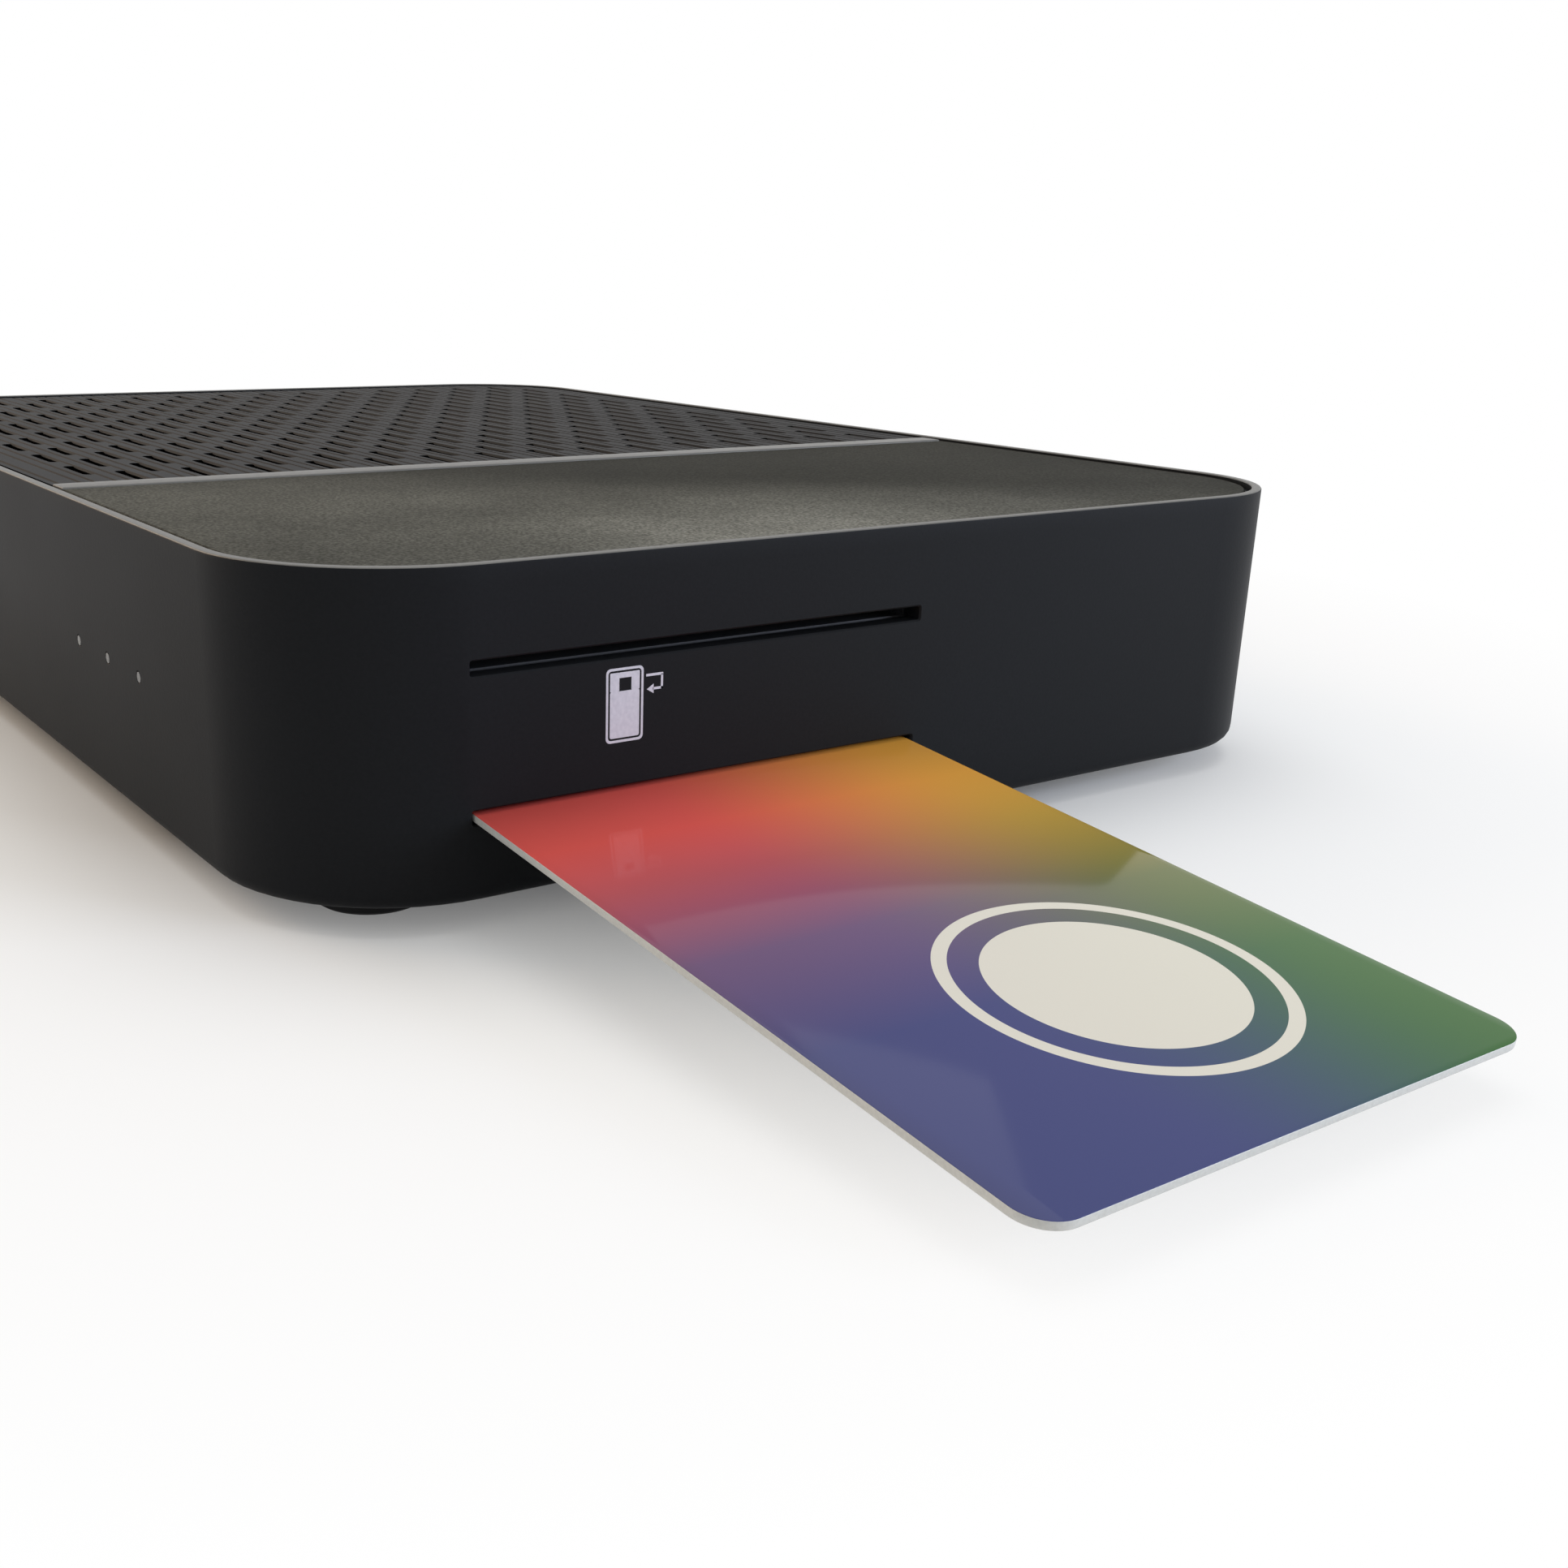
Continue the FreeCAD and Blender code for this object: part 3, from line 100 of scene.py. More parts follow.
def moulded(name, tone, grain, relief, roughness, specular=0.5, fleck=0.06):
    """Moulded plastic: an even colour, a grain from the mould, and soft clouds in the gloss. The
    grain is drawn coarser than the real one, which would be too fine to show."""
    material, tree = new_finish(name)
    place = add(tree, "ShaderNodeTexCoord").outputs["Object"]
    texture = add(tree, "ShaderNodeTexNoise", {"Vector": place, "Scale": 1 / grain, "Detail": 3.0})
    cloud = add(tree, "ShaderNodeTexNoise", {"Vector": place, "Scale": 1 / (30 * MM), "Detail": 2.0})
    shade = add(
        tree,
        "ShaderNodeMapRange",
        {
            "Value": texture.outputs[0],
            "From Min": 0.3,
            "From Max": 0.7,
            "To Min": 1 - fleck,
            "To Max": 1 + fleck,
        },
    )
    tint = add(tree, "ShaderNodeHueSaturation", {"Value": shade.outputs[0], "Color": linear(tone)})
    gloss = add(
        tree,
        "ShaderNodeMapRange",
        {"Value": cloud.outputs[0], "To Min": roughness - 0.04, "To Max": roughness + 0.04},
    )
    bump = add(tree, "ShaderNodeBump", {"Height": texture.outputs[0], "Strength": 0.5, "Distance": relief})
    surface(
        tree,
        Base_Color=tint.outputs[0],
        Roughness=gloss.outputs[0],
        Specular_IOR_Level=specular,
        Normal=bump.outputs[0],
    )
    return material


def outline(low, high, radii, steps=14):
    """Points round a rectangle, anticlockwise from its lower left corner. Each corner has its radius."""
    corners = ((low[0], low[1], 180), (high[0], low[1], 270), (high[0], high[1], 0), (low[0], high[1], 90))
    points = []
    for (x, y, start), radius in zip(corners, radii):
        centre_x = x + radius if x == low[0] else x - radius
        centre_y = y + radius if y == low[1] else y - radius
        for step in range(steps + 1):
            turn = math.radians(start + 90 * step / steps)
            points.append((centre_x + radius * math.cos(turn), centre_y + radius * math.sin(turn)))
    return points


def skin(name, rings, hollow=False):
    """A closed mesh over a row of rings of points. A hollow one joins its last ring to its first."""
    builder = bmesh.new()
    rows = [[builder.verts.new(point) for point in ring] for ring in rings]
    pairs = list(zip(rows, rows[1:]))
    if hollow:
        pairs.append((rows[-1], rows[0]))
    for below, above in pairs:
        for number in range(len(below)):
            after = (number + 1) % len(below)
            builder.faces.new((below[number], below[after], above[after], above[number]))
    if not hollow:
        builder.faces.new(rows[0])
        builder.faces.new(rows[-1])
    bmesh.ops.remove_doubles(builder, verts=builder.verts, dist=0.001 * MM)
    bmesh.ops.recalc_face_normals(builder, faces=builder.faces)
    mesh = bpy.data.meshes.new(name)
    builder.to_mesh(mesh)
    builder.free()
    piece = bpy.data.objects.new(name, mesh)
    bpy.context.scene.collection.objects.link(piece)
    return piece


def settle(piece):
    """Turn what the modifiers make into the piece's own plain mesh."""
    graph = bpy.context.evaluated_depsgraph_get()
    made = bpy.data.meshes.new_from_object(piece.evaluated_get(graph))
    piece.modifiers.clear()
    piece.data = made
    return piece


def carve(piece, *tools):
    for tool in tools:
        saw = piece.modifiers.new("saw", "BOOLEAN")
        saw.object, saw.operation, saw.solver = tool, "DIFFERENCE", "EXACT"
    settle(piece)
    for tool in tools:
        bpy.data.objects.remove(tool)
    return piece


def smooth(piece, angle=30):
    """Shade curved faces smooth and keep the edges over that angle crisp."""
    piece.data.shade_smooth()
    piece.data.set_sharp_from_angle(angle=math.radians(angle))
    return piece


def fit(piece, body, slot, *materials, stands_for=()):
    """Give a finished piece its materials, its body and the CAD nodes that it stands for. The slot is not
    used.
    """
    for material in materials:
        piece.data.materials.append(material)
    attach(piece, body)
    if stands_for:
        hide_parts(*stands_for)
    return piece


def inset_ring(low, high, corner, inset, level):
    """A ring round the housing's outline, moved inwards and put at a level."""
    inner_low = (low[0] + inset, low[1] + inset)
    inner_high = (high[0] - inset, high[1] - inset)
    return [(x, y, level) for x, y in outline(inner_low, inner_high, [corner - inset] * 4)]


def quarter(radius, steps=5):
    """Steps along a quarter circle: how far in and how far up, from the side to the end."""
    for step in range(steps + 1):
        turn = math.radians(90 * step / steps)
        yield radius * (1 - math.cos(turn)), radius * math.sin(turn)


charcoal_abs = moulded("spark_eroded_charcoal_abs", "#1a1b1d", 0.35 * MM, 0.02 * MM, 0.5, specular=0.06)

shell_low, shell_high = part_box("housing_shell")
CORNER = 19.5 * MM
WALL = 2.2 * MM
FOOT_ROUND = 1.6 * MM
LEDGE = 5.0 * MM
LEDGE_THICKNESS = 1.6 * MM
SLOT_WIDTH = 54.6 * MM
SLOT_OPENING = 1.47 * MM
SLOT_FLARE = 0.18 * MM
SLOT_BEHIND_FRONT = 45.4 * MM
slot_middle = shell_low.y + SLOT_BEHIND_FRONT
shelf = shell_high.z
ledge_under = shelf - LEDGE_THICKNESS
profile = [(WALL, 0), (FOOT_ROUND, 0)]
profile += [(inset, FOOT_ROUND - rise) for inset, rise in list(quarter(FOOT_ROUND))[::-1][1:]]
profile += [(0, shelf), (WALL + LEDGE, shelf), (WALL + LEDGE, ledge_under), (WALL, ledge_under)]
housing = skin(
    "housing",
    [inset_ring(shell_low, shell_high, CORNER, *step) for step in profile],
    hollow=True,
)


def slot_tool(level):
    """A card slot's cutter, with a small flare at the outer face."""
    rings = []
    for x, flare in (
        (shell_high.x - 3 * WALL, 0),
        (shell_high.x - SLOT_FLARE, 0),
        (shell_high.x, SLOT_FLARE),
        (shell_high.x + WALL, 4 * SLOT_FLARE),
    ):
        low = (slot_middle - SLOT_WIDTH / 2 - flare, level - SLOT_OPENING / 2 - flare)
        high = (slot_middle + SLOT_WIDTH / 2 + flare, level + SLOT_OPENING / 2 + flare)
        rings.append([(x, y, z) for y, z in outline(low, high, [0.2 * MM + flare] * 4, steps=3)])
    return skin("slot_tool", rings)


UPPER_SLOT_DROP = 9.54 * MM
LOWER_SLOT_DROP = 23.8 * MM
rim_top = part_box("trim_ring")[1].z
upper_slot = rim_top - UPPER_SLOT_DROP
lower_slot = rim_top - LOWER_SLOT_DROP
panel_low, panel_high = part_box("rear_panel")
PANEL_LAP = 2.0 * MM
WINDOW_CORNER = 0.6 * MM
window_low = (panel_low.x + PANEL_LAP, panel_low.z + PANEL_LAP)
window_high = (panel_high.x - PANEL_LAP, panel_high.z - PANEL_LAP)
window_tool = skin(
    "window_tool",
    [
        [(x, y, z) for x, z in outline(window_low, window_high, [WINDOW_CORNER] * 4, steps=4)]
        for y in (shell_high.y - 3 * WALL, shell_high.y + WALL)
    ],
)
pipe_low, pipe_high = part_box("light_pipes")
pipe_level = (pipe_low.z + pipe_high.z) / 2
pipe_middle = (pipe_low.x + pipe_high.x) / 2
PIPE_PITCH = 10.5 * MM
PIPE_HOLE = 0.65 * MM
PIPE_FLARE = 0.1 * MM


def disc(x, y, z, radius, sides=24):
    """A ring that faces the front."""
    turns = [2 * math.pi * side / sides for side in range(sides)]
    return [(x + radius * math.cos(turn), y, z + radius * math.sin(turn)) for turn in turns]


lamp_tools = [
    skin(
        "lamp_tool",
        [
            disc(pipe_middle + number * PIPE_PITCH, shell_low.y + depth, pipe_level, radius)
            for depth, radius in (
                (-WALL, PIPE_HOLE + PIPE_FLARE),
                (0, PIPE_HOLE + PIPE_FLARE),
                (PIPE_FLARE, PIPE_HOLE),
                (3 * WALL, PIPE_HOLE),
            )
        ],
    )
    for number in (-1, 0, 1)
]
carve(housing, slot_tool(upper_slot), slot_tool(lower_slot), window_tool, *lamp_tools)
fit(smooth(housing), "root", "housing_abs", charcoal_abs, stands_for=["housing_shell"])


# Rim. The land round the top edge, where the charcoal wall ends. The land is of the charcoal plastic too;
# its lighter satin silver finish is a painted highlight of the light that it catches. The upright side
# keeps the charcoal of the wall.
def foil(name, tone, roughness):
    """Satin foil: a fine even metal with soft streaks from its rolling."""
    material, tree = new_finish(name)
    place = add(tree, "ShaderNodeTexCoord").outputs["Object"]
    fine = add(tree, "ShaderNodeTexNoise", {"Vector": place, "Scale": 1 / (0.5 * MM), "Detail": 2.0})
    gloss = add(
        tree,
        "ShaderNodeMapRange",
        {"Value": fine.outputs[0], "To Min": roughness - 0.06, "To Max": roughness + 0.06},
    )
    bump = add(tree, "ShaderNodeBump", {"Height": fine.outputs[0], "Strength": 0.3, "Distance": 0.01 * MM})
    surface(
        tree,
        Base_Color=linear(tone),
        Metallic=0.4,
        Specular_IOR_Level=0.2,
        Roughness=gloss.outputs[0],
        Normal=bump.outputs[0],
    )
    return material


# Real silver on the divider; on the rim's land the same finish is a painted highlight.
silver_foil_and_rim_highlight = foil("satin_silver_and_painted_rim_highlight", "#5f5e5b", 0.42)
RIM_WIDTH = 1.7 * MM
RIM_ROUND = 0.25 * MM
LAND_WIDTH = 1.05 * MM
JOINT_DEPTH = 0.9 * MM
JOINT_CHAMFER = 0.12 * MM
joint_floor = rim_top - JOINT_DEPTH
rim_profile = [(0, shelf)]
rim_profile += [(inset, rim_top - RIM_ROUND + rise) for inset, rise in quarter(RIM_ROUND)]
rim_profile += [(LAND_WIDTH, rim_top), (LAND_WIDTH + JOINT_CHAMFER, rim_top - JOINT_CHAMFER)]
rim_profile += [(LAND_WIDTH + JOINT_CHAMFER, joint_floor), (RIM_WIDTH, joint_floor), (RIM_WIDTH, shelf)]
rim = skin(
    "rim",
    [inset_ring(shell_low, shell_high, CORNER, *step) for step in rim_profile],
    hollow=True,
)
fit(smooth(rim), "root", "trim_satin", charcoal_abs, silver_foil_and_rim_highlight, stands_for=["trim_ring"])
# The land's upward faces take the silver finish as a painted highlight.
for face in rim.data.polygons:
    if face.normal.z > 0.6 and face.center.z > rim_top - JOINT_DEPTH / 2:
        face.material_index = 1


# Smooth top plate. A separate plate of warm dark grey ABS on the card side, with a satin finish in which
# fine dust shows, lightened by a painted sheen. It lies on the housing's ledge with a thin gap round it.
def plate_mesh(name, node_name, radii, soft=0.18 * MM):
    """A top plate with softened upper edges, from the box of its CAD node."""
    low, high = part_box(node_name)
    rings = [[(x, y, low.z) for x, y in outline(low, high, radii)]]
    for inset, rise in quarter(soft, steps=3):
        inner_low = (low.x + inset, low.y + inset)
        inner_high = (high.x - inset, high.y - inset)
        inner_radii = [max(radius - inset, 0.01 * MM) for radius in radii]
        level = high.z - soft + rise
        rings.append([(x, y, level) for x, y in outline(inner_low, inner_high, inner_radii)])
    return skin(name, rings)


PLATE_GAP = 0.35 * MM
PLATE_CORNER = CORNER - RIM_WIDTH - PLATE_GAP
SQUARE = 0.05 * MM
# The slope and the bright spot of the painted sheen.
SHEEN_EDGE = (48 * MM, 0, 0)
SHEEN_HEADING = math.radians(-34)
SHEEN_RUN = 30 * MM
SHEEN_SPOT = (98 * MM, -14 * MM, rim_top)
SHEEN_REACH = 32 * MM


def satin_plate(name, tone, sheen_and_dust_tone):
    """Satin ABS with a fine dusting and a painted sheen. The painted sheen lightens it towards the near
    corner, and most in a spot by the card side. Specks of the dusting lighten it further. The specks are
    drawn about 0.3 mm wide, so that they show."""
    material, tree = new_finish(name)
    place = add(tree, "ShaderNodeTexCoord").outputs["Object"]
    grain = add(tree, "ShaderNodeTexNoise", {"Vector": place, "Scale": 1 / (0.35 * MM), "Detail": 2.0})
    drift = add(tree, "ShaderNodeTexNoise", {"Vector": place, "Scale": 1 / (22 * MM), "Detail": 4.0})
    slope = add(
        tree,
        "ShaderNodeMapping",
        {
            "Vector": place,
            "Location": SHEEN_EDGE,
            "Rotation": (0, 0, SHEEN_HEADING),
            "Scale": (SHEEN_RUN, MM, MM),
        },
        vector_type="TEXTURE",
    )
    run = add(tree, "ShaderNodeSeparateXYZ", {"Vector": slope.outputs[0]})
    # Painted sheen: lighter along the slope towards the near corner.
    sheen_slope = add(
        tree,
        "ShaderNodeMapRange",
        {"Value": run.outputs["X"], "To Min": 0.1, "To Max": 0.36},
        interpolation_type="SMOOTHSTEP",
    )
    away = add(tree, "ShaderNodeVectorMath", {0: place, 1: SHEEN_SPOT}, operation="DISTANCE")
    # Painted sheen: brightest in a spot by the card side.
    sheen_pool = add(
        tree,
        "ShaderNodeMapRange",
        {"Value": away.outputs["Value"], "From Min": SHEEN_REACH, "From Max": 0.0, "To Max": 0.38},
        interpolation_type="SMOOTHSTEP",
    )
    sheen_depth = add(tree, "ShaderNodeMath", {0: sheen_slope.outputs[0], 1: sheen_pool.outputs[0]}, operation="ADD")
    patchy = add(
        tree,
        "ShaderNodeMapRange",
        {"Value": drift.outputs[0], "From Min": 0.3, "From Max": 0.7, "To Min": 0.7, "To Max": 1.2},
    )
    dust_specks = add(
        tree,
        "ShaderNodeMapRange",
        {"Value": grain.outputs[0], "From Min": 0.35, "From Max": 0.7, "To Min": 0.6, "To Max": 1.55},
    )
    film = add(tree, "ShaderNodeMath", {0: sheen_depth.outputs[0], 1: patchy.outputs[0]}, operation="MULTIPLY")
    # Painted sheen and dust together: the sheen is broken up by patches and by dust specks.
    sheen_and_dust = add(tree, "ShaderNodeMath", {0: film.outputs[0], 1: dust_specks.outputs[0]}, operation="MULTIPLY")
    tint = add(
        tree,
        "ShaderNodeMix",
        {"Factor": sheen_and_dust.outputs[0], "A": linear(tone), "B": linear(sheen_and_dust_tone)},
        data_type="RGBA",
    )
    gloss = add(tree, "ShaderNodeMapRange", {"Value": drift.outputs[0], "To Min": 0.55, "To Max": 0.7})
    bump = add(tree, "ShaderNodeBump", {"Height": grain.outputs[0], "Strength": 0.4, "Distance": 0.01 * MM})
    surface(
        tree,
        Base_Color=tint.outputs["Result"],
        Roughness=gloss.outputs[0],
        Specular_IOR_Level=0.004,
        Normal=bump.outputs[0],
    )
    return material


# The second tone is the lighter colour of the painted sheen and of the dust.
warm_satin = satin_plate("satin_warm_grey_abs", "#22221f", "#8b8a81")
smooth_plate = plate_mesh("smooth_plate", "smooth_top_plate", [SQUARE, PLATE_CORNER, PLATE_CORNER, SQUARE])
fit(smooth(smooth_plate), "root", "top_plate", warm_satin, stands_for=["smooth_top_plate"])


# Divider strip. A straight bar with the same silver foil, pressed between the two top plates.
divider = plate_mesh("divider", "divider_strip", [SQUARE] * 4, soft=0.25 * MM)
fit(smooth(divider), "root", "trim_satin", silver_foil_and_rim_highlight, stands_for=["divider_strip"])


# Vent grille. The other top plate is moulded with staggered rows of slots. Fine grooves run along
# both sides of each row and between the rows, so that the solid bands read as ribs.
VENT_LENGTH = 9.8 * MM
VENT_WIDTH = 1.5 * MM
VENT_PITCH = 15.0 * MM
ROW_PITCH = 4.24 * MM
ROWS = 30
COLUMNS = 8
VENT_EDGE = 0.8 * MM
GROOVE_WIDTH = 0.46 * MM
GROOVE_DEPTH = 0.45 * MM
GROOVE_BEFORE = 1.72 * MM
GROOVE_AFTER = 0.86 * MM
END_SHARE = 0.46
CUT_BELOW = 2 * MM
CUT_HEIGHT = 6 * MM
grille_low, grille_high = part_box("vent_grille")
grille_middle_y = (grille_low.y + grille_high.y) / 2
first_row = grille_middle_y - (ROWS - 1) * ROW_PITCH / 2


def ribbed_profile():
    """The grille's section from front to rear: a flat top with V grooves beside the rows."""
    top = grille_high.z
    points = [(grille_low.y, grille_low.z), (grille_high.y, grille_low.z), (grille_high.y, top)]
    grooves = []
    for row in range(-1, ROWS + 1):
        middle = first_row + row * ROW_PITCH
        grooves += [middle - GROOVE_BEFORE, middle + GROOVE_AFTER]
    half = GROOVE_WIDTH / 2
    for groove in sorted(grooves, reverse=True):
        if grille_low.y + GROOVE_WIDTH < groove < grille_high.y - GROOVE_WIDTH:
            points += [(groove + half, top), (groove, top - GROOVE_DEPTH), (groove - half, top)]
    return points + [(grille_low.y, top)]


grille = skin("grille", [[(x, y, z) for y, z in ribbed_profile()] for x in (grille_low.x, grille_high.x)])
grille_outline = outline(grille_low, grille_high, [PLATE_CORNER, SQUARE, SQUARE, PLATE_CORNER])
trimmer = skin(
    "trimmer",
    [[(x, y, z) for x, y in grille_outline] for z in (grille_low.z - MM, grille_high.z + MM)],
)


def vent_tree(face_finish, shaded_wall_finish):
    """Trim the plate to its outline, cut a staggered field of round-ended slots, and finish it, with
    near-black painted shade on the slot walls.
    """
    tree = bpy.data.node_groups.new("vent_field", "GeometryNodeTree")
    face = tree.interface
    face.new_socket("Geometry", in_out="OUTPUT", socket_type="NodeSocketGeometry")
    face.new_socket("Geometry", in_out="INPUT", socket_type="NodeSocketGeometry")
    face.new_socket("Outline", in_out="INPUT", socket_type="NodeSocketObject")
    for name in ("Slot length", "Slot width", "Slot pitch", "Row pitch"):
        face.new_socket(name, in_out="INPUT", socket_type="NodeSocketFloat")
    for name in ("Columns", "Rows"):
        face.new_socket(name, in_out="INPUT", socket_type="NodeSocketInt")
    face.new_socket("Middle", in_out="INPUT", socket_type="NodeSocketVector")
    given = add(tree, "NodeGroupInput").outputs
    shape = add(
        tree,
        "GeometryNodeCurvePrimitiveQuadrilateral",
        {"Width": given["Slot length"], "Height": given["Slot width"]},
    )
    end_radius = add(tree, "ShaderNodeMath", {0: given["Slot width"], 1: END_SHARE}, operation="MULTIPLY")
    soft = add(
        tree,
        "GeometryNodeFilletCurve",
        {"Curve": shape.outputs[0], "Radius": end_radius.outputs[0], "Count": 3},
        mode="POLY",
    )
    flat = add(tree, "GeometryNodeFillCurve", {"Curve": soft.outputs[0]}, mode="NGONS")
    tall = add(
        tree,
        "GeometryNodeExtrudeMesh",
        {"Mesh": flat.outputs[0], "Offset Scale": CUT_HEIGHT, "Individual": False},
    )
    under = add(tree, "GeometryNodeFlipFaces", {"Mesh": flat.outputs[0]})
    both = add(tree, "GeometryNodeJoinGeometry")
    tree.links.new(tall.outputs[0], both.inputs[0])
    tree.links.new(under.outputs[0], both.inputs[0])
    tool = add(tree, "GeometryNodeMergeByDistance", {"Geometry": both.outputs[0], "Distance": 0.01 * MM})
    spans = []
    for count, pitch in (("Columns", "Slot pitch"), ("Rows", "Row pitch")):
        steps = add(tree, "ShaderNodeMath", {0: given[count], 1: 1.0}, operation="SUBTRACT")
        span = add(tree, "ShaderNodeMath", {0: steps.outputs[0], 1: given[pitch]}, operation="MULTIPLY")
        spans.append(span.outputs[0])
    field = add(
        tree,
        "GeometryNodeMeshGrid",
        {
            "Size X": spans[0],
            "Size Y": spans[1],
            "Vertices X": given["Columns"],
            "Vertices Y": given["Rows"],
        },
    )
    number = add(tree, "GeometryNodeInputIndex")
    row = add(tree, "ShaderNodeMath", {0: number.outputs[0], 1: given["Rows"]}, operation="MODULO")
    odd = add(tree, "ShaderNodeMath", {0: row.outputs[0], 1: 2.0}, operation="MODULO")
    half_pitch = add(tree, "ShaderNodeMath", {0: given["Slot pitch"], 1: 0.5}, operation="MULTIPLY")
    shift = add(tree, "ShaderNodeMath", {0: odd.outputs[0], 1: half_pitch.outputs[0]}, operation="MULTIPLY")
    sideways = add(tree, "ShaderNodeCombineXYZ", {"X": shift.outputs[0]})
    place = add(tree, "ShaderNodeVectorMath", {0: sideways.outputs[0], 1: given["Middle"]}, operation="ADD")
    points = add(
        tree,
        "GeometryNodeSetPosition",
        {"Geometry": field.outputs[0], "Offset": place.outputs[0]},
    )
    slots = add(
        tree,
        "GeometryNodeInstanceOnPoints",
        {"Points": points.outputs[0], "Instance": tool.outputs[0]},
    )
    real_slots = add(tree, "GeometryNodeRealizeInstances", {"Geometry": slots.outputs[0]})
    border = add(tree, "GeometryNodeObjectInfo", {"Object": given["Outline"]}, transform_space="RELATIVE")
    trimmed = add(tree, "GeometryNodeMeshBoolean", operation="INTERSECT", solver="EXACT")
    tree.links.new(given["Geometry"], trimmed.inputs["Mesh 2"])
    tree.links.new(border.outputs["Geometry"], trimmed.inputs["Mesh 2"])
    pierced = add(
        tree,
        "GeometryNodeMeshBoolean",
        {"Mesh 1": trimmed.outputs[0], "Mesh 2": real_slots.outputs[0]},
        operation="DIFFERENCE",
        solver="EXACT",
    )
    real = add(tree, "GeometryNodeRealizeInstances", {"Geometry": pierced.outputs[0]})
    faces = add(tree, "GeometryNodeSetMaterial", {"Geometry": real.outputs[0], "Material": face_finish})
    normal = add(tree, "GeometryNodeInputNormal")
    normal_axes = add(tree, "ShaderNodeSeparateXYZ", {"Vector": normal.outputs[0]})
    rise = add(tree, "ShaderNodeMath", {0: normal_axes.outputs["Z"]}, operation="ABSOLUTE")
    upright = add(tree, "FunctionNodeCompare", {"A": rise.outputs[0], "B": 0.3}, operation="LESS_THAN")
    # The upright faces, which are the slot walls, take the painted shade.
    walls = add(
        tree,
        "GeometryNodeSetMaterial",
        {"Geometry": faces.outputs[0], "Selection": upright.outputs[0], "Material": shaded_wall_finish},
    )
    add(tree, "NodeGroupOutput", {"Geometry": walls.outputs[0]})
    return tree


def run_tree(piece, tree, values):
    """Run a node tree on a piece with its inputs set by name, and keep the plain mesh."""
    modifier = piece.modifiers.new(tree.name, "NODES")
    modifier.node_group = tree
    for item in tree.interface.items_tree:
        if item.in_out == "INPUT" and item.name in values:
            modifier[item.identifier] = values[item.name]
    settle(piece)
    if piece.data.materials[0] is None:
        piece.data.materials.pop(index=0)
    return piece


grille_abs = moulded("moulded_grille_abs", "#212122", 0.4 * MM, 0.015 * MM, 0.55, specular=0.045)
# Painted shade: the slot walls are the grille's plastic, drawn near black for the shade inside the slots.
vent_wall_painted_shade = moulded("vent_wall_painted_shade", "#070708", 0.4 * MM, 0.01 * MM, 0.7, specular=0.0)
last_slot_end = grille_high.x - VENT_EDGE
field_middle = last_slot_end - VENT_LENGTH / 2 - VENT_PITCH / 2 - (COLUMNS - 1) * VENT_PITCH / 2
run_tree(
    grille,
    vent_tree(grille_abs, vent_wall_painted_shade),
    {
        "Outline": trimmer,
        "Slot length": VENT_LENGTH,
        "Slot width": VENT_WIDTH,
        "Slot pitch": VENT_PITCH,
        "Row pitch": ROW_PITCH,
        "Columns": COLUMNS,
        "Rows": ROWS,
        "Middle": (field_middle, grille_middle_y, grille_low.z - CUT_BELOW),
    },
)
bpy.data.objects.remove(trimmer)
fit(smooth(grille), "root", "grille", stands_for=["vent_grille"])


# Smart card. A laminated PVC card of the standard size, printed under a clear gloss film, so its
# core shows white at the edge. It leans down out of the lower slot with its chip underneath.
CARD_LENGTH = 85.6 * MM
CARD_WIDTH = 53.98 * MM
CARD_THICKNESS = 0.76 * MM
CARD_CORNER = 3.18 * MM
CARD_INSERTED = 12.5 * MM
CARD_RAKE = math.radians(5.2)
CARD_SAG = 0.12 * MM
card_origin = Vector((shell_high.x, slot_middle, lower_slot - CARD_SAG))
card_place = Matrix.Translation(card_origin) @ Matrix.Rotation(CARD_RAKE, 4, "Y")


def card_mesh():
    """The card in its own place: the slot's outer face is at 0, and X runs outwards."""
    half = CARD_THICKNESS / 2
    soft = 0.1 * MM
    rings = []
    for inset, level in (
        (soft, -half),
        (soft * 0.3, -half + soft * 0.3),
        (0, -half + soft),
        (0, half - soft),
        (soft * 0.3, half - soft * 0.3),
        (soft, half),
    ):
        low = (-CARD_INSERTED + inset, -CARD_WIDTH / 2 + inset)
        high = (CARD_LENGTH - CARD_INSERTED - inset, CARD_WIDTH / 2 - inset)
        rings.append([(x, y, level) for x, y in outline(low, high, [CARD_CORNER - inset] * 4, steps=12)])
    card = skin("printed_card", rings)
    card.data.transform(card_place)
    return card


CARD_RATIO = (1.586, 1, 0)
DISC_MIDDLE = (0.6, 0.06, 0)
DISC_RADIUS = 0.2
RING_RADIUS = 0.26
RING_HALF = 0.012


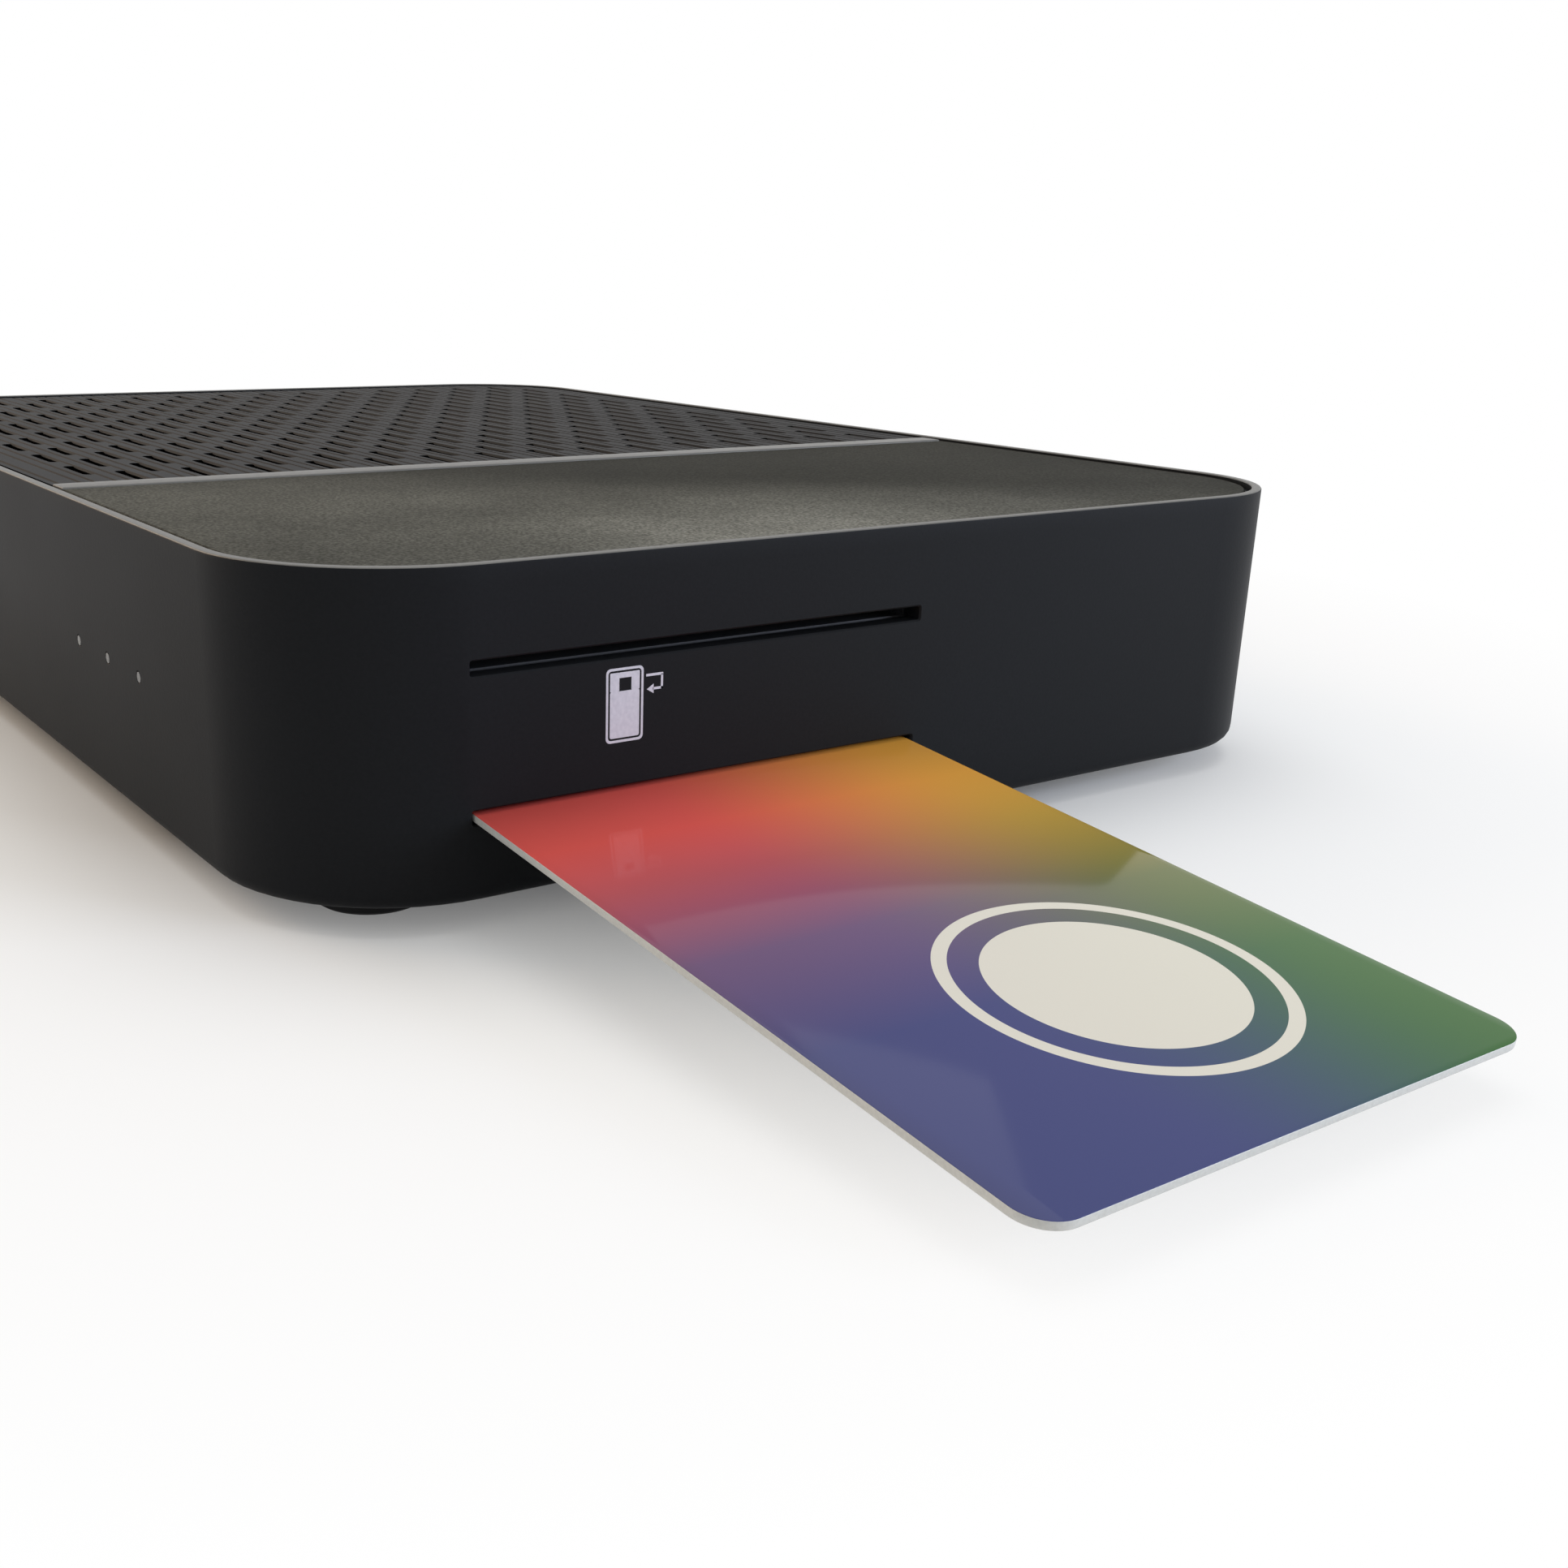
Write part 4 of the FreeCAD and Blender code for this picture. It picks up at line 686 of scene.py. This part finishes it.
def card_print():
    """A printed colour field under gloss film: red and gold at the slot, blue and green outside, and a
    cream disc with a ring round it. The red and gold by the slot are the print, made lighter as painted
    light against the housing's shade there."""
    material, tree = new_finish("gloss_printed_pvc")
    place = add(tree, "ShaderNodeTexCoord").outputs["Object"]
    own = add(
        tree,
        "ShaderNodeMapping",
        {
            "Vector": place,
            "Location": card_origin,
            "Rotation": (0, CARD_RAKE, 0),
            "Scale": (CARD_LENGTH, CARD_WIDTH, MM),
        },
        vector_type="TEXTURE",
    )
    axes = add(tree, "ShaderNodeSeparateXYZ", {"Vector": own.outputs[0]})
    bands = []
    # The first stops, by the slot, carry painted light as well as the print.
    for stops in (
        ((0.12, "#e65e56"), (0.24, "#b85a60"), (0.4, "#705678"), (0.58, "#4a4d7a"), (1.0, "#4a507a")),
        ((0.12, "#e4a242"), (0.26, "#b89440"), (0.44, "#6c7440"), (0.62, "#446c36"), (1.0, "#3c6832")),
    ):
        ramp = add(tree, "ShaderNodeValToRGB", {"Fac": axes.outputs["X"]})
        while len(ramp.color_ramp.elements) < len(stops):
            ramp.color_ramp.elements.new(0.5)
        for element, (spot, tone) in zip(ramp.color_ramp.elements, stops):
            element.position = spot
            element.color = linear(tone)
        bands.append(ramp.outputs["Color"])
    across = add(
        tree,
        "ShaderNodeMapRange",
        {"Value": axes.outputs["Y"], "From Min": -0.2, "From Max": 0.5},
        interpolation_type="SMOOTHSTEP",
    )
    field = add(
        tree,
        "ShaderNodeMix",
        {"Factor": across.outputs[0], "A": bands[0], "B": bands[1]},
        data_type="RGBA",
    )
    spot = add(tree, "ShaderNodeVectorMath", {0: own.outputs[0], 1: DISC_MIDDLE}, operation="SUBTRACT")
    squared = add(
        tree,
        "ShaderNodeVectorMath",
        {0: spot.outputs[0], 1: CARD_RATIO},
        operation="MULTIPLY",
    )
    away = add(tree, "ShaderNodeVectorMath", {0: squared.outputs[0]}, operation="LENGTH")
    in_disc = add(tree, "ShaderNodeMath", {0: away.outputs["Value"], 1: DISC_RADIUS}, operation="LESS_THAN")
    off_ring = add(tree, "ShaderNodeMath", {0: away.outputs["Value"], 1: RING_RADIUS}, operation="SUBTRACT")
    ring_gap = add(tree, "ShaderNodeMath", {0: off_ring.outputs[0]}, operation="ABSOLUTE")
    in_ring = add(tree, "ShaderNodeMath", {0: ring_gap.outputs[0], 1: RING_HALF}, operation="LESS_THAN")
    drawn = add(
        tree,
        "ShaderNodeMath",
        {0: in_disc.outputs[0], 1: in_ring.outputs[0]},
        operation="MAXIMUM",
    )
    share = add(tree, "ShaderNodeMath", {0: drawn.outputs[0], 1: 0.92}, operation="MULTIPLY")
    printed = add(
        tree,
        "ShaderNodeMix",
        {"Factor": share.outputs[0], "A": field.outputs["Result"], "B": linear("#e2dccb")},
        data_type="RGBA",
    )
    surface(tree, Base_Color=printed.outputs["Result"], Roughness=0.08, Specular_IOR_Level=0.07)
    return material


card_core = moulded("white_pvc_core", "#c9c9c4", 0.3 * MM, 0.004 * MM, 0.45)
printed_pvc = card_print()
card = card_mesh()
fit(smooth(card, 50), "card", "card_pvc", card_core, printed_pvc, stands_for=["smart_card"])
card_up = card_place.to_3x3() @ Vector((0, 0, 1))
for face in card.data.polygons:
    if face.normal.dot(card_up) > 0.8:
        face.material_index = 1


# Card symbol. A pad-printed sign in white ink under the upper slot: a card with its chip, and a
# bent arrow that says which way up it goes in. The ink is a thin film on the housing's side.
def white_ink():
    material, tree = new_finish("pad_printed_white_ink")
    place = add(tree, "ShaderNodeTexCoord").outputs["Object"]
    grain = add(tree, "ShaderNodeTexNoise", {"Vector": place, "Scale": 1 / (0.4 * MM)})
    tint = add(
        tree,
        "ShaderNodeMix",
        {"Factor": grain.outputs[0], "A": linear("#b4b6c0"), "B": linear("#d2d3da")},
        data_type="RGBA",
    )
    surface(tree, Base_Color=tint.outputs["Result"], Roughness=0.5)
    return material


INK = 0.02 * MM


def ink_shape(points, hole=None):
    """A flat ink shape on the card side, in millimetres along the side and up it."""
    face_x = shell_high.x
    rings = [[(face_x - depth, y * MM, z * MM) for y, z in points] for depth in (INK, -INK)]
    if not hole:
        return skin("ink", rings)
    inner = [[(face_x - depth, y * MM, z * MM) for y, z in hole] for depth in (-INK, INK)]
    return skin("ink", rings + inner, hollow=True)


def ink_box(y_low, y_high, z_low, z_high, radius=0.05):
    return outline((y_low, z_low), (y_high, z_high), [radius] * 4, steps=4)


white = white_ink()
symbol_parts = [
    ink_shape(ink_box(-37.8, -33.5, 13.8, 21.2, 0.5), ink_box(-37.55, -33.75, 14.05, 20.95, 0.35)),
    ink_shape(ink_box(-37.35, -33.95, 14.25, 18.9, 0.2)),
    ink_shape(ink_box(-37.35, -36.3, 18.9, 20.75, 0.1)),
    ink_shape(ink_box(-34.9, -33.95, 18.9, 20.75, 0.1)),
    ink_shape(ink_box(-36.3, -34.9, 20.2, 20.75, 0.05)),
    ink_shape(ink_box(-33.2, -31.2, 20.0, 20.25)),
    ink_shape(ink_box(-31.45, -31.2, 18.6, 20.1)),
    ink_shape(ink_box(-32.4, -31.2, 18.6, 18.85)),
    ink_shape([(-33.1, 18.72), (-32.3, 18.25), (-32.3, 19.2)]),
]
symbol = symbol_parts[0]
symbol.name = "card_symbol"
with bpy.context.temp_override(active_object=symbol, selected_editable_objects=symbol_parts):
    bpy.ops.object.join()
fit(symbol, "root", "housing_abs", white)


# Pieces kept as the CAD made them: the base, boards, readers, sockets, screws and chips. Each gets the
# finish of the real one: moulded plastic, plated or bare metal, solder mask, paint or resin; the light
# pipes are drawn darker as painted shade.
def dress(material, *names):
    for name in names:
        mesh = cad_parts[name].data
        mesh.materials.clear()
        mesh.materials.append(material)


def metal(name, tone, roughness, streak=None):
    """Bare or plated metal. A streak stretches the grain along X, as an extruder's die does."""
    material, tree = new_finish(name)
    place = add(tree, "ShaderNodeTexCoord").outputs["Object"]
    stretch = add(tree, "ShaderNodeMapping", {"Vector": place, "Scale": streak or (1, 1, 1)})
    noise = add(
        tree,
        "ShaderNodeTexNoise",
        {"Vector": stretch.outputs[0], "Scale": 1 / (0.6 * MM), "Detail": 3.0},
    )
    gloss = add(
        tree,
        "ShaderNodeMapRange",
        {"Value": noise.outputs[0], "To Min": roughness - 0.08, "To Max": roughness + 0.08},
    )
    bump = add(tree, "ShaderNodeBump", {"Height": noise.outputs[0], "Strength": 0.2, "Distance": 0.01 * MM})
    surface(tree, Base_Color=linear(tone), Metallic=1.0, Roughness=gloss.outputs[0], Normal=bump.outputs[0])
    return material


black_abs = moulded("moulded_black_abs", "#161618", 0.5 * MM, 0.02 * MM, 0.55, specular=0.35)
rubber = moulded("moulded_nitrile_rubber", "#101011", 0.3 * MM, 0.02 * MM, 0.75, specular=0.3)
zinc_steel = metal("zinc_plated_steel", "#b9bbbd", 0.35)
nickel = metal("nickel_plated_brass", "#c8c4ba", 0.25)
tin = metal("tinned_steel", "#bfc0c0", 0.32)
gold = metal("gold_plated_bronze", "#d9b25a", 0.28)
aluminium = metal("extruded_aluminium", "#a9abad", 0.38, streak=(0.1, 1, 1))
panel_steel = moulded("painted_black_steel", "#1b1c1d", 0.25 * MM, 0.02 * MM, 0.5)
laminate = moulded("green_solder_mask", "#1f4a2c", 0.8 * MM, 0.01 * MM, 0.35)
epoxy = moulded("moulded_epoxy", "#1c1c1e", 0.2 * MM, 0.01 * MM, 0.5)
sleeve = moulded("capacitor_sleeve", "#23263a", 0.6 * MM, 0.005 * MM, 0.3)
reader_abs = moulded("moulded_reader_abs", "#3a3b3e", 0.4 * MM, 0.01 * MM, 0.4)
socket_plastic = moulded("moulded_socket_plastic", "#141415", 0.3 * MM, 0.01 * MM, 0.42)
# Painted shade: the light pipes are drawn mid grey for the shade of the lamp holes round them.
shaded_acrylic = moulded("acrylic_pipe_painted_shade", "#5e6062", 0.5 * MM, 0.003 * MM, 0.2)
resin = moulded("lamp_resin", "#c9cfd2", 0.5 * MM, 0.003 * MM, 0.25)
dress(black_abs, "base_cover")
dress(zinc_steel, "case_screws", "board_screws", "reader_screws", "reader_posts")
dress(laminate, "main_board", "front_board")
dress(epoxy, "main_processor", "memory_chips", "power_coils", "remote_eye")
dress(aluminium, "heat_sink")
dress(sleeve, "capacitors")
dress(shaded_acrylic, "light_pipes")
dress(resin, "indicator_lamps")
dress(reader_abs, "lower_card_reader", "upper_card_reader")
dress(socket_plastic, "front_header", "reader_header", "network_socket", "optical_socket")
dress(socket_plastic, "optical_shutter", "audio_jack", "power_inlet", "switch_frame", "power_rocker")
dress(gold, "lower_reader_contacts", "upper_reader_contacts")
dress(panel_steel, "rear_panel")
dress(tin, "tuner_can", "hdmi_socket", "usb_socket")


def soften(width, *names):
    """Break the sharp edges of CAD nodes, as a mould or a press leaves them."""
    for name in names:
        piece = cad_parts[name]
        weld = piece.modifiers.new("weld", "WELD")
        weld.merge_threshold = 0.001 * MM
        bevel = piece.modifiers.new("bevel", "BEVEL")
        bevel.width = width
        bevel.segments = 2
        bevel.limit_method = "ANGLE"
        bevel.angle_limit = math.radians(35)


soften(0.2 * MM, "network_socket", "optical_socket", "power_inlet", "switch_frame", "power_rocker")
soften(0.08 * MM, "hdmi_socket", "usb_socket", "audio_jack", "optical_shutter", "rear_panel")


# Aerial input. A turned brass barrel with a rolled thread, nickel plated, and a hexagon flange
# behind it. A white insulator in its mouth holds the gold spring that grips the centre wire.
ROUND_SIDES = 48


def turned(name, spine, rows, sides=ROUND_SIDES, hollow=False):
    """A turned piece whose axis runs to the rear: rows of radius and place along it."""
    return skin(name, [disc(spine[0], y, spine[1], radius, sides) for radius, y in rows], hollow=hollow)


THREAD_PITCH = 0.794 * MM
THREAD_DEPTH = 0.4 * MM
BARREL_LENGTH = 11.0 * MM
THREAD_RELIEF = 0.5 * MM
THREAD_ENDS = 1.2 * MM
aerial_low, aerial_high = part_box("aerial_connector")
aerial_spine = ((aerial_low.x + aerial_high.x) / 2, (aerial_low.z + aerial_high.z) / 2)
AERIAL_RADIUS = 4.76 * MM
AERIAL_BORE = 3.35 * MM
FLANGE_RADIUS = 6.35 * MM
aerial_tip = aerial_high.y
flange_end = aerial_tip - BARREL_LENGTH


def thread_ring(y):
    """One ring of the rolled thread: its radius falls and rises once in a turn, and along the axis."""
    ring = []
    for number, (x, _, z) in enumerate(disc(0, 0, 0, 1, ROUND_SIDES)):
        wave = abs(2 * ((y / THREAD_PITCH + number / ROUND_SIDES) % 1) - 1)
        radius = AERIAL_RADIUS - THREAD_DEPTH * wave
        ring.append((aerial_spine[0] + radius * x, y, aerial_spine[1] + radius * z))
    return ring


def plain_ring(radius, y):
    return disc(aerial_spine[0], y, aerial_spine[1], radius, ROUND_SIDES)


core_radius = AERIAL_RADIUS - THREAD_DEPTH
thread_start = flange_end + THREAD_RELIEF
thread_rows = int((BARREL_LENGTH - THREAD_ENDS) / (THREAD_PITCH / 4))
barrel_rings = [plain_ring(core_radius, y) for y in (aerial_low.y, thread_start - 0.1 * MM)]
barrel_rings += [thread_ring(thread_start + row * THREAD_PITCH / 4) for row in range(thread_rows)]
barrel_rings += [
    plain_ring(radius, aerial_tip - depth)
    for radius, depth in (
        (core_radius, 0.5 * MM),
        (core_radius - 0.45 * MM, 0),
        (AERIAL_BORE + 0.15 * MM, 0),
        (AERIAL_BORE, 0.15 * MM),
        (AERIAL_BORE, 10 * MM),
    )
]
barrel = skin("aerial_barrel", barrel_rings)
fit(smooth(barrel), "root", "aerial_nickel", nickel, stands_for=["aerial_connector"])
flange = turned(
    "aerial_flange",
    aerial_spine,
    [
        (FLANGE_RADIUS - 0.45 * MM, aerial_low.y + 0.1 * MM),
        (FLANGE_RADIUS, aerial_low.y + 0.4 * MM),
        (FLANGE_RADIUS, flange_end - 0.35 * MM),
        (FLANGE_RADIUS - 0.55 * MM, flange_end),
    ],
    sides=6,
)
fit(smooth(flange), "root", "aerial_nickel", nickel)
insulator = turned(
    "aerial_insulator",
    aerial_spine,
    [
        (AERIAL_BORE - 0.02 * MM, aerial_tip - 9.5 * MM),
        (AERIAL_BORE - 0.02 * MM, aerial_tip - 1.9 * MM),
        (AERIAL_BORE - 0.3 * MM, aerial_tip - 1.6 * MM),
        (1.0 * MM, aerial_tip - 1.6 * MM),
        (0.62 * MM, aerial_tip - 2.1 * MM),
        (0.62 * MM, aerial_tip - 6 * MM),
    ],
)
white_ptfe = moulded("white_ptfe", "#d9d8d2", 0.4 * MM, 0.004 * MM, 0.4)
fit(smooth(insulator), "root", "aerial_nickel", white_ptfe)
wire_spring = turned(
    "aerial_wire_spring",
    aerial_spine,
    [
        (0.6 * MM, aerial_tip - 5.8 * MM),
        (0.6 * MM, aerial_tip - 2.4 * MM),
        (0.36 * MM, aerial_tip - 2.3 * MM),
        (0.36 * MM, aerial_tip - 5.5 * MM),
    ],
)
fit(smooth(wire_spring), "root", "contact_gold", gold)


# Socket contacts. Stamped strips of gold plated bronze: eight springs that slope down into the
# network socket, flat fingers on both faces of the HDMI tongue, and four under the USB tongue.
def row_tree():
    """Copies of a piece in an even row."""
    tree = bpy.data.node_groups.new("even_row", "GeometryNodeTree")
    face = tree.interface
    face.new_socket("Geometry", in_out="OUTPUT", socket_type="NodeSocketGeometry")
    for name, kind in (
        ("Geometry", "Geometry"),
        ("Count", "Int"),
        ("First", "Vector"),
        ("Step", "Vector"),
        ("Finish", "Material"),
    ):
        face.new_socket(name, in_out="INPUT", socket_type="NodeSocket" + kind)
    given = add(tree, "NodeGroupInput").outputs
    line = add(
        tree,
        "GeometryNodeMeshLine",
        {"Count": given["Count"], "Start Location": given["First"], "Offset": given["Step"]},
        mode="OFFSET",
    )
    copies = add(
        tree,
        "GeometryNodeInstanceOnPoints",
        {"Points": line.outputs[0], "Instance": given["Geometry"]},
    )
    real = add(tree, "GeometryNodeRealizeInstances", {"Geometry": copies.outputs[0]})
    finish = add(
        tree,
        "GeometryNodeSetMaterial",
        {"Geometry": real.outputs[0], "Material": given["Finish"]},
    )
    add(tree, "NodeGroupOutput", {"Geometry": finish.outputs[0]})
    return tree


even_row = row_tree()


def strip(name, path, width, thickness):
    """A stamped strip across X that follows a path of places to the rear and up."""
    under = [(y, z - thickness) for y, z in reversed(path)]
    return skin(name, [[(x, y, z) for y, z in path + under] for x in (-width / 2, width / 2)])


def contact_row(name, node_name, path, width, thickness, count, pitch):
    """A row of equal strips across a socket, in millimetres from its face and its lower edge."""
    low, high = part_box(node_name)
    places = [(high.y + y * MM, low.z + z * MM) for y, z in path]
    row = strip(name, places, width * MM, thickness * MM)
    first = ((low.x + high.x) / 2 - (count - 1) * pitch * MM / 2, 0, 0)
    run_tree(row, even_row, {"Count": count, "First": first, "Step": (pitch * MM, 0, 0), "Finish": gold})
    return fit(row, "root", "contact_gold")


network_path = [(-1.0, 12.45), (-1.7, 11.9), (-9.0, 8.2), (-9.8, 8.2), (-12.9, 10.6)]
contact_row("network_springs", "network_socket", network_path, 0.45, 0.2, 8, 1.02)
contact_row("hdmi_upper_fingers", "hdmi_socket", [(-8.0, 3.8), (-1.8, 3.8)], 0.45, 0.07, 10, 1.0)
contact_row("hdmi_lower_fingers", "hdmi_socket", [(-8.0, 2.86), (-1.8, 2.86)], 0.45, 0.07, 9, 1.0)
contact_row("usb_fingers", "usb_socket", [(-12.5, 2.96), (-4.8, 2.96)], 1.0, 0.1, 4, 2.3)


# Round sockets. The audio jack and the power inlet each have a turned collar in the mouth, and the
# inlet's centre pin is a plated sleeve with a rounded tip.
COLLAR_PROUD = 0.05 * MM


def collar(name, node_name, outer, bore, depth, finish):
    low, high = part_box(node_name)
    spine = ((low.x + high.x) / 2, (low.z + high.z) / 2)
    face = high.y + COLLAR_PROUD
    rows = [
        (outer, face - depth),
        (outer, face - 0.1 * MM),
        (outer - 0.1 * MM, face),
        (bore + 0.25 * MM, face),
        (bore, face - 0.25 * MM),
        (bore, face - depth),
    ]
    piece = turned(name, spine, rows, hollow=True)
    return fit(smooth(piece), "root", "socket_plastic", finish)


collar("audio_collar", "audio_jack", 2.6 * MM, 1.78 * MM, 3 * MM, nickel)
collar("power_collar", "power_inlet", 3.9 * MM, 3.0 * MM, 6 * MM, socket_plastic)
power_low, power_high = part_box("power_inlet")
pin_base = power_high.y - 9.6 * MM
pin_tip = power_high.y - 0.9 * MM
power_pin = turned(
    "power_pin",
    ((power_low.x + power_high.x) / 2, (power_low.z + power_high.z) / 2),
    [
        (1.04 * MM, pin_base),
        (1.04 * MM, pin_tip - 0.4 * MM),
        (0.9 * MM, pin_tip - 0.1 * MM),
        (0.6 * MM, pin_tip),
        (0.3 * MM, pin_tip),
        (0.3 * MM, pin_tip - 2 * MM),
    ],
    sides=32,
)
fit(smooth(power_pin), "root", "aerial_nickel", nickel)


# Rubber feet. Four moulded discs in shallow recesses, each with a rounded edge and a dished tread.
FOOT_RADIUS = 6.0 * MM
feet_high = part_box("rubber_feet")[1]
foot_profile = (
    (5.9, 0.45),
    (5.97, 0.3),
    (5.97, -1.7),
    (5.8, -2.15),
    (5.3, -2.5),
    (4.9, -2.6),
    (3.8, -2.6),
    (3.5, -2.4),
    (0.4, -2.3),
)
feet = skin(
    "feet",
    [
        [(x, y, z * MM) for x, _, y in disc(0, 0, 0, radius * MM, ROUND_SIDES)]
        for radius, z in foot_profile
    ],
)
reach_x = feet_high.x - FOOT_RADIUS
reach_y = feet_high.y - FOOT_RADIUS
for first, step in (((-reach_x, -reach_y, 0), (2 * reach_x, 0, 0)), ((0, 0, 0), (0, 2 * reach_y, 0))):
    run_tree(feet, even_row, {"Count": 2, "First": first, "Step": step, "Finish": rubber})
fit(smooth(feet), "root", "foot_rubber", stands_for=["rubber_feet"])


# Card chip. A thin resin plate in a pocket of the card's underside with eight gold contact pads,
# in two columns of four, and a long pad between the columns. It is glued in at the inner end.
CHIP_LENGTH = 13.0 * MM
CHIP_WIDTH = 11.8 * MM
CHIP_MIDDLE = (2.5 * MM, 3.1 * MM)
PAD_SIZE = (4.3 * MM, 2.3 * MM)
PAD_STEP = 2.54 * MM
COLUMN_STEP = 8.2 * MM
MIDDLE_PAD = (3.4 * MM, 9.9 * MM)
chip_under = -CARD_THICKNESS / 2


def chip_slab(name, size, corner, levels, middle=CHIP_MIDDLE):
    low = (middle[0] - size[0] / 2, middle[1] - size[1] / 2)
    high = (middle[0] + size[0] / 2, middle[1] + size[1] / 2)
    return skin(name, [[(x, y, z) for x, y in outline(low, high, [corner] * 4, steps=6)] for z in levels])


chip_resin = moulded("chip_resin", "#3a3020", 0.3 * MM, 0.003 * MM, 0.4)
chip_levels = (chip_under + 0.02 * MM, chip_under + 0.18 * MM)
chip_base = chip_slab("chip_base", (CHIP_LENGTH, CHIP_WIDTH), 2.0 * MM, chip_levels)
chip_base.data.transform(card_place)
fit(chip_base, "card", "chip_gold", chip_resin, stands_for=["card_chip"])
pad_levels = (chip_under + 0.002 * MM, chip_under + 0.03 * MM)
pads = chip_slab("chip_pads", PAD_SIZE, 0.4 * MM, pad_levels, (0, 0))
first_pad = (CHIP_MIDDLE[0] - COLUMN_STEP / 2, CHIP_MIDDLE[1] - 1.5 * PAD_STEP, 0)
run_tree(pads, even_row, {"Count": 4, "First": first_pad, "Step": (0, PAD_STEP, 0), "Finish": gold})
run_tree(pads, even_row, {"Count": 2, "First": (0, 0, 0), "Step": (COLUMN_STEP, 0, 0), "Finish": gold})
pads.data.transform(card_place)
fit(pads, "card", "chip_gold")
middle_pad = chip_slab("chip_middle_pad", MIDDLE_PAD, 0.8 * MM, pad_levels)
middle_pad.data.transform(card_place)
fit(middle_pad, "card", "chip_gold", gold)


# Floor, light and camera. The floor is plain and pale and keeps the shadow. Far out it turns to the
# white of the surroundings, so that no horizon shows.
SHADOW_REACH = 0.09
WHITE_FROM = 0.2


def seen_share(tree):
    """1 for a ray that shows the surroundings: straight, in a reflection or through glass."""
    ray = add(tree, "ShaderNodeLightPath").outputs
    shown = ray["Is Camera Ray"]
    for kind in ("Is Glossy Ray", "Is Transmission Ray"):
        shown = add(tree, "ShaderNodeMath", {0: shown, 1: ray[kind]}, operation="MAXIMUM").outputs[0]
    return shown


def studio_floor():
    material, tree = new_finish("pale_floor")
    place = add(tree, "ShaderNodeTexCoord").outputs["Object"]
    away = add(tree, "ShaderNodeVectorMath", {0: place}, operation="LENGTH")
    far = add(
        tree,
        "ShaderNodeMapRange",
        {"Value": away.outputs["Value"], "From Min": SHADOW_REACH, "From Max": WHITE_FROM},
    )
    share = add(tree, "ShaderNodeMath", {0: far.outputs[0], 1: seen_share(tree)}, operation="MULTIPLY")
    matt = add(tree, "ShaderNodeBsdfDiffuse", {"Color": linear("#f4f4f2")})
    glow = add(tree, "ShaderNodeEmission", {"Color": (1, 1, 1, 1), "Strength": 1.0})
    both = add(
        tree,
        "ShaderNodeMixShader",
        {0: share.outputs[0], 1: matt.outputs[0], 2: glow.outputs[0]},
    )
    add(tree, "ShaderNodeOutputMaterial", {"Surface": both.outputs[0]})
    return material


FLOOR_REACH = 4.0
FLOOR_THICKNESS = 10 * MM
floor_level = packed_box[0].z
floor_outline = outline((-FLOOR_REACH,) * 2, (FLOOR_REACH,) * 2, [MM] * 4, steps=1)
floor_levels = (floor_level - FLOOR_THICKNESS, floor_level)
floor = skin("floor", [[(x, y, level) for x, y in floor_outline] for level in floor_levels])
floor.data.materials.append(studio_floor())

world = bpy.data.worlds.new("studio")
bpy.context.scene.world = world
world.use_nodes = True
sky = world.node_tree
sky.nodes.clear()
AMBIENT = 0.45
strength = add(sky, "ShaderNodeMapRange", {"Value": seen_share(sky), "To Min": AMBIENT, "To Max": 1.0})
backdrop = add(sky, "ShaderNodeBackground", {"Color": (1, 1, 1, 1), "Strength": strength.outputs[0]})
add(sky, "ShaderNodeOutputWorld", {"Surface": backdrop.outputs[0]})


def softbox(name, place, aim, size, power, tone="#ffffff"):
    light = bpy.data.lights.new(name, "AREA")
    light.color = linear(tone)[:3]
    light.shape, light.size, light.energy = "SQUARE", size, power
    lamp = bpy.data.objects.new(name, light)
    lamp.location = place
    lamp.rotation_euler = (Vector(aim) - Vector(place)).to_track_quat("-Z", "Y").to_euler()
    bpy.context.scene.collection.objects.link(lamp)


softbox("top_softbox", (-0.2, 0.15, 1.1), (0, 0, 0), 1.0, 5.4)
softbox("front_softbox", (-0.95, -0.58, 0.5), (0, 0, 0), 0.7, 5.4, "#ffdcb4")
softbox("side_softbox", (0.95, 0.85, 0.35), (0.06, 0, 0), 0.7, 11.5, "#dfeaff")

HEADING = 55.890
DIP = 18.937
ROLL = 1.025
PHOTO_SIDE = 1932
FOCAL_PIXELS = 2108.44
AXIS_PIXEL = (797.84, 1044.53)
EYE = (237.43 * MM, -124.06 * MM, 58.23 * MM)
camera_data = bpy.data.cameras.new("camera")
camera_data.sensor_width = 36.0
camera_data.lens = camera_data.sensor_width * FOCAL_PIXELS / PHOTO_SIDE
camera_data.shift_x = (PHOTO_SIDE / 2 - AXIS_PIXEL[0]) / PHOTO_SIDE
camera_data.shift_y = (AXIS_PIXEL[1] - PHOTO_SIDE / 2) / PHOTO_SIDE
camera_data.clip_start = 5 * MM
camera_data.clip_end = 20.0
camera = bpy.data.objects.new("camera", camera_data)
heading = Matrix.Rotation(math.radians(HEADING), 4, "Z")
dip = Matrix.Rotation(math.radians(90 - DIP), 4, "X")
roll = Matrix.Rotation(math.radians(ROLL), 4, "Z")
camera.matrix_world = Matrix.Translation(EYE) @ heading @ dip @ roll
bpy.context.scene.collection.objects.link(camera)
bpy.context.scene.camera = camera
bpy.context.scene.view_settings.view_transform = "Standard"
